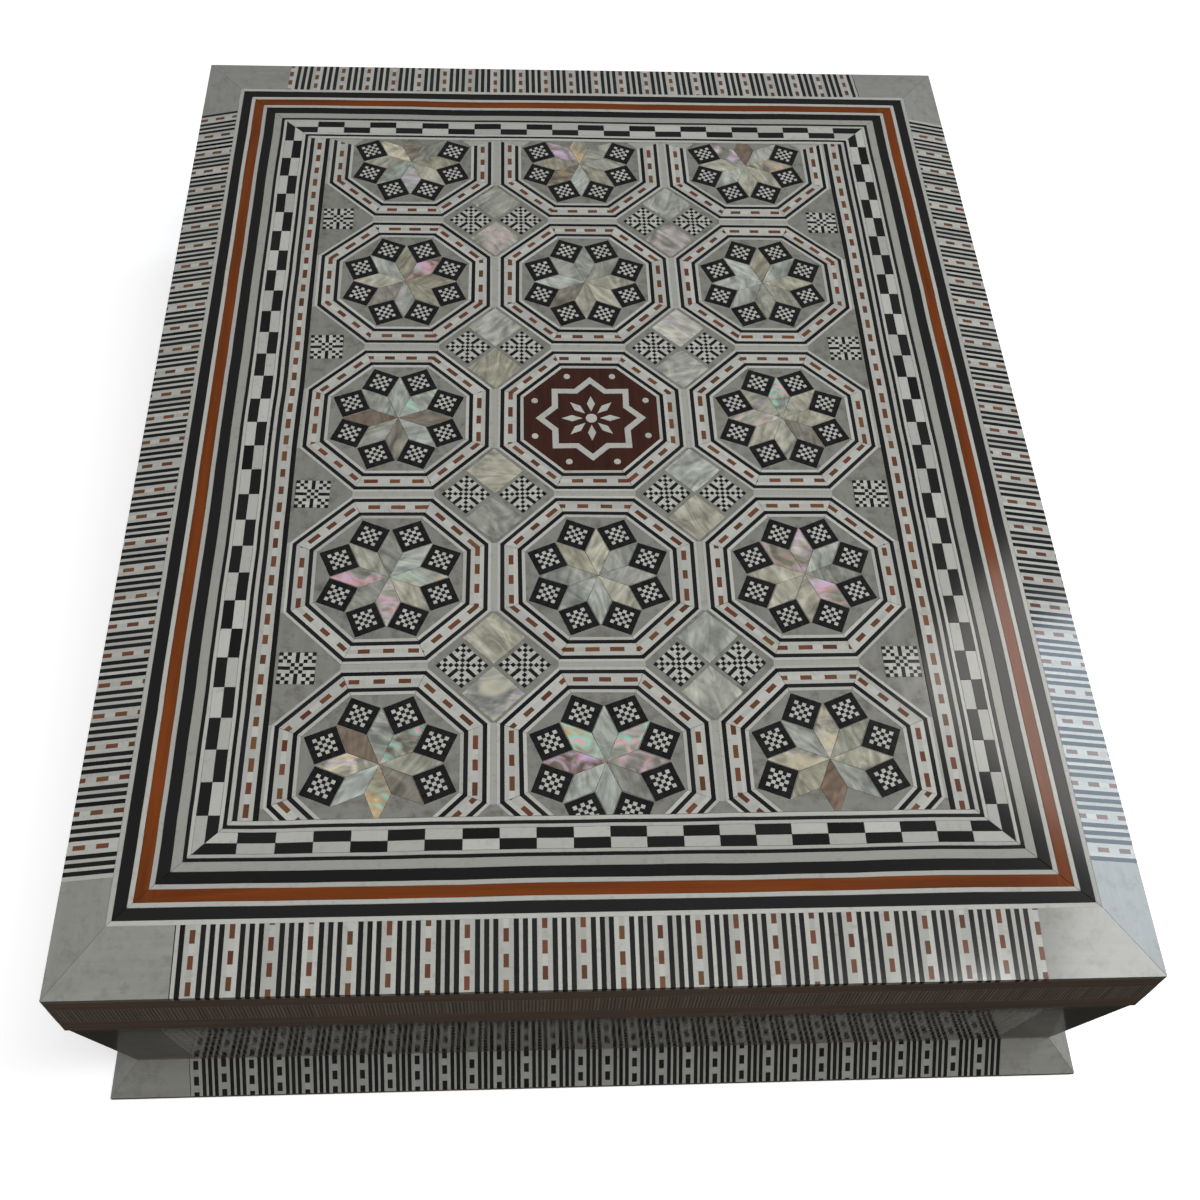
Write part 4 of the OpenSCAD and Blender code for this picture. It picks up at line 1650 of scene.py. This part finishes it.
    def frames(self) -> None:
        """Makes the frames of the octagons from mitred dashed strips."""
        masters = [self.frame_strip(turn) for turn in range(self.sides)]
        reach = self.octagon_w / 2 / math.cos(self.eighth)
        laid = []
        for _, x, y in self.octagons():
            for step in range(self.sides):
                angle = step * OCTAGON_TURN
                ends = [y + reach * math.sin(angle + way * self.eighth) for way in BOTH_WAYS]
                if any(self.in_field(end) for end in ends):
                    place = Matrix.Translation((x, y, 0)) @ Matrix.Rotation(angle, 4, "Z")
                    laid.append(Bench.copy(self.draw.choice(masters), place))
        self.finish(self.gather(laid, masters, "dashed_octagon_frames"), "bone", "octagon_frames")

    def side_strips(self) -> None:
        """Makes the dashed strips at the left and right of the field."""
        length = 2 * (self.half_y - OUT.glue)
        pieces = []
        # The left strip is the right one turned by half
        for half_turns in (1, 0):
            strip = SIDE_LANES.build("side_strip", length, self.draw.random(), self.draw)
            strip.data.transform(Matrix.Translation((self.half_x + OUT.glue / 2, 0, OUT.top)))
            strip.data.transform(Matrix.Rotation(half_turns * math.pi, 4, "Z"))
            Bench.back(strip, self.back)
            pieces.append(strip)
        whole = Bench.join(pieces, "dashed_side_strips")
        Bench.tone(whole, self.draw)
        HAND.split(whole)
        HAND.bend(whole)
        Bench.fit(whole, Body.LID, "bone", "side_dash_strips")

    def jitter(self, slip: float, twist: float) -> Matrix:
        """A small random shift and turn, as of a hand-set piece.

        Args:
            slip: Most that the piece moves each way.
            twist: Most that it turns, in degrees.

        Returns:
            The move.
        """
        move = Vector((self.draw.uniform(-slip, slip), self.draw.uniform(-slip, slip), 0))
        angle = math.radians(self.draw.uniform(-twist, twist))
        return Matrix.Translation(move) @ Matrix.Rotation(angle, 4, "Z")

    def grid(
        self, name: str, side: float, cells: int, border: float, shade: Callable[[int, int], bool]
    ) -> Piece:
        """Models a square of small cells, centred on the origin.

        Args:
            name: Name of the square.
            side: Its side.
            cells: Cells along a side.
            border: Share of the side that the first and last cells take.
            shade: Whether a cell is black, by its column and row.

        Returns:
            The square with its thickness.
        """
        corner = Vector((side / 2, side / 2, 0))
        square = Bench.sheet(name, -corner, corner, [BONE.material(), EBONY.material()])
        inner = (1 - 2 * border) / (cells - 2)
        joints = [(border + inner * step - 0.5) * side for step in range(cells - 1)]
        with Bench.editing(square):
            for joint in joints:
                Bench.saw(square, ACROSS, [joint])
                Bench.saw(square, ALONG, [joint])

        def at(middle: Vector) -> int:
            """Slot of a face by its place.

            Args:
                middle: The face's middle.

            Returns:
                The slot of white or black.
            """
            column = sum(middle.x > joint for joint in joints)
            row = sum(middle.y > joint for joint in joints)
            return int(shade(column, row))

        Bench.paint(square, at)
        Bench.back(square, self.back)
        return square

    def tiles(self) -> None:
        """Makes the black checked tiles round the stars."""

        def shade(column: int, row: int) -> bool:
            """Black border and a checker inside it."""
            on_border = min(column, row) == 0 or max(column, row) == self.tile_cells - 1
            return on_border or (column + row) % 2 == 1

        master = self.grid("star_tile", self.tile_side, self.tile_cells, self.tile_border, shade)
        laid = []
        for row, x, y in self.stars():
            is_front_middle = row == -self.rows_out and self.in_middle(x)
            for step in range(self.sides):
                angle = step * OCTAGON_TURN + self.eighth
                along = y + self.tile_r * math.sin(angle)
                is_cut = is_front_middle and abs(along) < self.half_y
                if not self.in_field(along) and not is_cut:
                    continue
                middle = Vector((x + self.tile_r * math.cos(angle), along, OUT.top))
                askew = self.jitter(self.tile_slip, self.tile_twist)
                turn = Matrix.Rotation(angle + math.pi / 4, 4, "Z") @ askew
                laid.append(Bench.copy(master, Matrix.Translation(middle) @ turn))
        self.finish(self.gather(laid, [master], "checked_star_tiles"), "star_tile", "star_tiles")

    def mosaics(self) -> None:
        """Makes the black and white mosaic squares at the crossings and along the sides."""
        third = self.mosaic_cells // 3
        centre = self.mosaic_cells // 2

        def shade(column: int, row: int) -> bool:
            """Four checked corners between striped arms, and a checked middle.

            Args:
                column: The cell's column.
                row: The cell's row.

            Returns:
                Whether the cell is black.
            """
            in_column_arm = third <= column < 2 * third
            in_row_arm = third <= row < 2 * third
            if in_column_arm and not in_row_arm:
                return column == centre
            if in_row_arm and not in_column_arm:
                return row == centre
            return (column + row) % 2 == 0

        master = self.grid("mosaic_square", self.mosaic_side, self.mosaic_cells, 1 / self.mosaic_cells, shade)
        out = self.mosaic_side / math.sqrt(2) + self.mosaic_gap
        edge_x = self.half_x - self.mosaic_side / 2 - self.edge_margin
        on_corner = Matrix.Rotation(math.pi / 4, 4, "Z")
        crossings = [(column - (self.columns - 2) / 2) * self.pitch for column in range(self.columns - 1)]
        spots = [(x + way * out, on_corner) for x in crossings for way in BOTH_WAYS]
        spots += [(way * edge_x, Matrix.Identity(4)) for way in BOTH_WAYS]
        laid = []
        for y in self.crossing_rows():
            for x, turn in spots:
                place = Matrix.Translation((x, y, OUT.top)) @ turn
                laid.append(Bench.copy(master, place @ self.jitter(self.mosaic_slip, self.mosaic_twist)))
        whole = Bench.join(laid, "snow_mosaic_squares")
        Bench.discard([master])
        self.finish(whole, "mosaic", "mosaic_squares")

    def diamond_master(self) -> Piece:
        """Models one pearl diamond, from the middle of its star to the right.

        Returns:
            The diamond with eased upper edges.
        """
        bpy.ops.object.select_all(action="DESELECT")
        bpy.ops.mesh.primitive_circle_add(vertices=4, radius=1, fill_type="NGON")
        master = bpy.context.active_object
        master.name = "star_diamond"
        master.data.materials.append(PEARL.material())
        half_l = self.star_tip / 2 - OUT.glue
        half_w = self.diamond * math.sin(self.eighth) - OUT.glue
        top = OUT.top - self.ground_sink / 2
        with Bench.editing(master):
            bpy.ops.transform.resize(value=(half_l, half_w, 1), center_override=(0, 0, 0))
            bpy.ops.transform.translate(value=(self.star_tip / 2, 0, top))
        Bench.back(master, self.back - Vector((0, 0, top - OUT.top)))
        Bench.ease(master, top)
        return master

    def diamonds(self) -> None:
        """Makes the pearl diamonds of the stars."""
        master = self.diamond_master()
        laid = []
        for _, x, y in self.stars():
            for step in range(self.sides):
                turn = Matrix.Rotation(step * OCTAGON_TURN, 4, "Z")
                laid.append(Bench.copy(master, Matrix.Translation((x, y, 0)) @ turn))
        whole = self.gather(laid, [master], "pearl_star_diamonds")
        self.finish(whole, "pearl", "star_diamonds", by_island=True)

    def contacts(self, ground: Piece) -> None:
        """Gives the thin strips of ground between touching octagons their paler finish.

        Args:
            ground: The ground of the field.
        """
        flat = self.octagon_w / 2 * math.tan(self.eighth)
        columns = sorted({x for _, x, _ in self.octagons()})
        rows = sorted({y for _, _, y in self.octagons()})
        with Bench.editing(ground):
            for way in BOTH_WAYS:
                Bench.saw(ground, ACROSS, [x + way * flat for x in columns])
                Bench.saw(ground, ALONG, [y + way * flat for y in rows])
        ground.data.materials.append(CONTACT_BONE.material())

        def shade(middle: Vector) -> int:
            """Slot of a face, the second one beside the flats of the octagons.

            Args:
                middle: The face's middle.

            Returns:
                The slot.
            """
            off_x = min(abs(middle.x - x) for x in columns)
            off_y = min(abs(middle.y - y) for y in rows)
            return int(off_x < flat or off_y < flat)

        Bench.paint(ground, shade)

    def flat_pieces(self) -> None:
        """Makes the pearl squares, the grounds and the middle octagon from their nodes."""
        rows = [
            ("pearl_squares", "pearl_crossing_squares", PALE_PEARL, "pearl", self.ground_sink / 2),
            ("octagon_grounds", "horn_octagon_grounds", GROUND, "ground", self.ground_sink),
            ("field_ground", "horn_field_ground", GROUND, "ground", self.ground_sink),
            ("medallion_ground", "brown_middle_ground", BROWN, "medallion_brown", self.ground_sink),
            ("medallion_rosette", "bone_middle_rosette", BONE, "bone", 0.0),
        ]
        for node, name, finish, slot, sink in rows:
            piece = Bench.from_node(node, name, finish.material(), sink)
            if node == "field_ground":
                self.contacts(piece)
            self.finish(piece, slot, node, by_island=True)


@dataclass
class LidBands:
    """Bands of inlay between the sloped border and the field."""

    draw: random.Random

    def build(self) -> None:
        """Makes the bands, lines and checker blocks from their nodes."""
        rows = [
            ("white_lines", "bone_lines", BONE, "bone"),
            ("outer_black_band", "ebony_outer_band", EBONY, "ebony"),
            ("orange_band", "orange_wood_band", ORANGE, "orange_wood"),
            ("inner_black_band", "ebony_inner_band", EBONY, "ebony"),
            ("pale_band", "bone_pale_band", GREY_BONE, "corner_plate"),
            ("guard_lines", "ebony_guard_lines", EBONY, "ebony"),
            ("checker_black_blocks", "ebony_checker_blocks", EBONY, "ebony"),
            ("checker_white_blocks", "bone_checker_blocks", BONE, "bone"),
        ]
        for node, name, finish, slot in rows:
            piece = Bench.from_node(node, name, finish.material())
            Bench.tone(piece, self.draw, by_island=True)
            HAND.split(piece)
            HAND.bend(piece)
            Bench.fit(piece, Body.LID, slot, node)


class PlainSkins:
    """Corner plates, wooden strips, core wood and hinges, which keep their nodes' shapes."""

    def build(self) -> None:
        """Dresses the nodes that stay."""
        for node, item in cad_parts.items():
            if item.hide_render:
                continue
            finish = self.finish_of(node)
            item.data.materials.clear()
            item.data.materials.append(finish.material())
            log.info("%s: %s", node, finish.name)

    def finish_of(self, node: str) -> Finish:
        """The finish of a node that stays.

        Args:
            node: Its name.

        Returns:
            The finish.
        """
        # The wall's corner plates take the plate horn with painted shade
        if node == "wall_corner_plates":
            return SHADED_WALL_PLATE
        if node.endswith("corner_plates"):
            return PLATE
        if "hinge" in node:
            return BRASS
        if node.endswith("strips") or node.startswith("plinth"):
            return DARK_WOOD
        return CORE_WOOD


@dataclass
class Linings:
    """Velvet inside the box and the lid, and felt under the base."""

    edge_share: float = 0.3
    edge_steps: int = 3

    def build(self) -> None:
        """Makes all cloth pieces."""
        self.panel("floor_lining", "velvet_floor", Body.BOX, VELVET, "velvet")
        self.panel("lid_lining", "velvet_lid", Body.LID, VELVET, "velvet")
        self.panel("base_felt", "felt_base", Body.BOX, FELT, "felt")
        self.walls()

    def panel(self, node: str, name: str, body: Body, finish: Finish, slot: str) -> None:
        """Makes one flat lining with soft edges.

        Args:
            node: The node that it replaces.
            name: Name of the piece.
            body: What it moves with.
            finish: Its cloth.
            slot: Passed on to Bench.fit.
        """
        low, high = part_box(node)
        piece = self.cloth(name, low, high, finish)
        Bench.fit(piece, body, slot, node)

    def cloth(self, name: str, low: Vector, high: Vector, finish: Finish) -> Piece:
        """Models a cloth panel that fills a box, with rounded edges.

        Args:
            name: Name of the piece.
            low: Lowest corner.
            high: Highest corner.
            finish: Its cloth.

        Returns:
            The panel.
        """
        piece = Bench.sheet(name, Vector((low.x, low.y, high.z)), high, [finish.material()])
        Bench.back(piece, Vector((0, 0, low.z - high.z)))
        edge = min(high - low) * self.edge_share
        with Bench.editing(piece):
            bpy.ops.mesh.select_mode(type="EDGE")
            bpy.ops.mesh.select_all(action="SELECT")
            bpy.ops.mesh.bevel(offset=edge, segments=self.edge_steps, affect="EDGES")
        return piece

    def wall_box(self, side: Side) -> tuple[Vector, Vector]:
        """Corners of the lining of one wall.

        Args:
            side: The wall's side.

        Returns:
            The lowest and the highest corner.
        """
        low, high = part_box("wall_linings")
        near = Vector(low)
        far = Vector(high)
        if side is Side.FRONT:
            far.y = low.y + OUT.skin
        elif side is Side.REAR:
            near.y = high.y - OUT.skin
        elif side is Side.LEFT:
            far.x = low.x + OUT.skin
        else:
            near.x = high.x - OUT.skin
        if not side.along_x:
            near.y += OUT.skin + OUT.glue
            far.y -= OUT.skin + OUT.glue
        return near, far

    def walls(self) -> None:
        """Makes the four wall linings, which meet at the corners."""
        for side in Side:
            near, far = self.wall_box(side)
            piece = self.cloth(f"velvet_wall_{side.word}", near, far, VELVET)
            Bench.fit(piece, Body.BOX, "velvet", "wall_linings")


WHITE_LIGHT = (1.0, 1.0, 1.0)
WARM_LIGHT = (1.0, 0.97, 0.92)
DAYLIGHT = (0.72, 0.86, 1.0)


@dataclass(frozen=True)
class Softbox:
    """A soft light that faces the box, with its sizes in metres and its power in watts."""

    name: str
    place: tuple[float, float, float]
    width: float
    height: float
    power: float
    colour: tuple[float, float, float] = WHITE_LIGHT

    def hang(self) -> None:
        """Hangs the light."""
        lamp = bpy.data.lights.new(self.name, "AREA")
        lamp.shape = "RECTANGLE"
        lamp.size = self.width
        lamp.size_y = self.height
        lamp.energy = self.power
        lamp.color = self.colour
        hung = bpy.data.objects.new(self.name, lamp)
        bpy.context.scene.collection.objects.link(hung)
        hung.location = self.place
        hung.rotation_euler = (-Vector(self.place)).to_track_quat("-Z", "Y").to_euler()


def grey(light: float) -> Colour:
    """A plain grey of a linear lightness."""
    return (light, light, light, 1.0)


@dataclass
class Studio:
    """Floor, light and camera."""

    focal_px: float = 1419.2
    image_px: float = 1200
    sensor: float = 36
    near_clip: float = 0.01
    eye: Vector = field(default_factory=lambda: Vector((-18.2, -228.23, 328.95)) * MM)
    right: Vector = field(default_factory=lambda: Vector((0.998307, -0.037631, 0.044358)))
    down: Vector = field(default_factory=lambda: Vector((-0.00661, -0.831013, -0.556214)))
    ahead: Vector = field(default_factory=lambda: Vector((0.057793, 0.554979, -0.829854)))
    floor_w: float = 30
    floor_rough: float = 0.8
    floor_glow: float = 0.55
    paper: tuple[Colour, Colour] = (grey(0.9), grey(0.94))
    ground_light: Colour = grey(0.025)
    sky_light: Colour = (0.095, 0.098, 0.1, 1.0)
    wall_light: Colour = grey(0.45)
    softboxes: tuple[Softbox, ...] = (
        Softbox("key", (0.14, -0.33, 1.1), width=0.7, height=0.2, power=6.5),
        Softbox("near_window", (1.04, 0.46, 0.98), width=0.42, height=0.34, power=2.7, colour=DAYLIGHT),
        Softbox("high_window", (0.66, 0.56, 1.21), width=0.4, height=0.28, power=1.0, colour=WARM_LIGHT),
        Softbox("corner_window", (0.58, -0.1, 1.03), width=0.34, height=0.24, power=1.6),
    )

    def build(self) -> None:
        """Sets up the whole studio."""
        bpy.context.scene.view_settings.view_transform = "Standard"
        self.floor()
        self.surroundings()
        for light in self.softboxes:
            light.hang()
        self.camera()

    def camera(self) -> None:
        """Puts the camera at the photograph's view."""
        lens = bpy.data.cameras.new("camera")
        lens.sensor_width = self.sensor
        lens.lens = self.sensor * self.focal_px / self.image_px
        lens.clip_start = self.near_clip
        eye = bpy.data.objects.new("camera", lens)
        bpy.context.scene.collection.objects.link(eye)
        turn = Matrix((self.right, -self.down, -self.ahead)).transposed()
        eye.matrix_world = Matrix.Translation(self.eye) @ turn.to_4x4()
        bpy.context.scene.camera = eye

    def floor(self) -> None:
        """Lays a plain pale floor."""
        bpy.ops.object.select_all(action="DESELECT")
        bpy.ops.mesh.primitive_plane_add(size=self.floor_w)
        floor = bpy.context.active_object
        floor.name = "floor"
        paper = bpy.data.materials.new("floor_paper")
        paper.use_nodes = True
        build = Tree(paper.node_tree)
        shader = paper.node_tree.nodes["Principled BSDF"]
        cloud = build.noise(build.add("TexCoord").outputs["Object"], 3.0)
        build.feed(shader.inputs["Base Color"], build.mix(cloud, *self.paper))
        shader.inputs["Roughness"].default_value = self.floor_rough
        shader.inputs["Emission Color"].default_value = grey(1.0)
        shader.inputs["Emission Strength"].default_value = self.floor_glow
        floor.data.materials.append(paper)
        floor.visible_diffuse = False
        floor.visible_glossy = False
        floor.visible_shadow = False

    def surroundings(self) -> None:
        """Makes the soft light from all round, with a brighter stretch low behind the box."""
        world = bpy.data.worlds.new("studio")
        world.use_nodes = True
        build = Tree(world.node_tree)
        parts = build.add("SeparateXYZ", Vector=build.add("TexCoord").outputs["Generated"]).outputs
        above = build.remap(parts["Z"], (-0.1, 0.1))
        behind = build.remap(parts["Y"], (-0.45, 0.05))
        under = build.remap(parts["Z"], (0.2, 0.05))
        over = build.remap(parts["Z"], (-0.8, -0.6))
        stretch = build.math("MULTIPLY", behind, build.math("MULTIPLY", under, over))
        shade = build.mix(above, self.ground_light, self.sky_light)
        sky = world.node_tree.nodes["Background"]
        build.feed(sky.inputs["Color"], build.mix(stretch, shade, self.wall_light))
        bpy.context.scene.world = world


def main() -> None:
    """Builds the pieces in order, from the studio to the plain skins."""
    logging.basicConfig(level=logging.INFO, format="%(name)s %(message)s")
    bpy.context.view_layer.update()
    draw = random.Random(SEED)
    noise.seed_set(SEED)
    Studio().build()
    StripedSkins(draw).build()
    LineBands(draw).build()
    LidBands(draw).build()
    OctagonField(draw).build()
    Linings().build()
    PlainSkins().build()


if __name__ == "__main__":
    main()
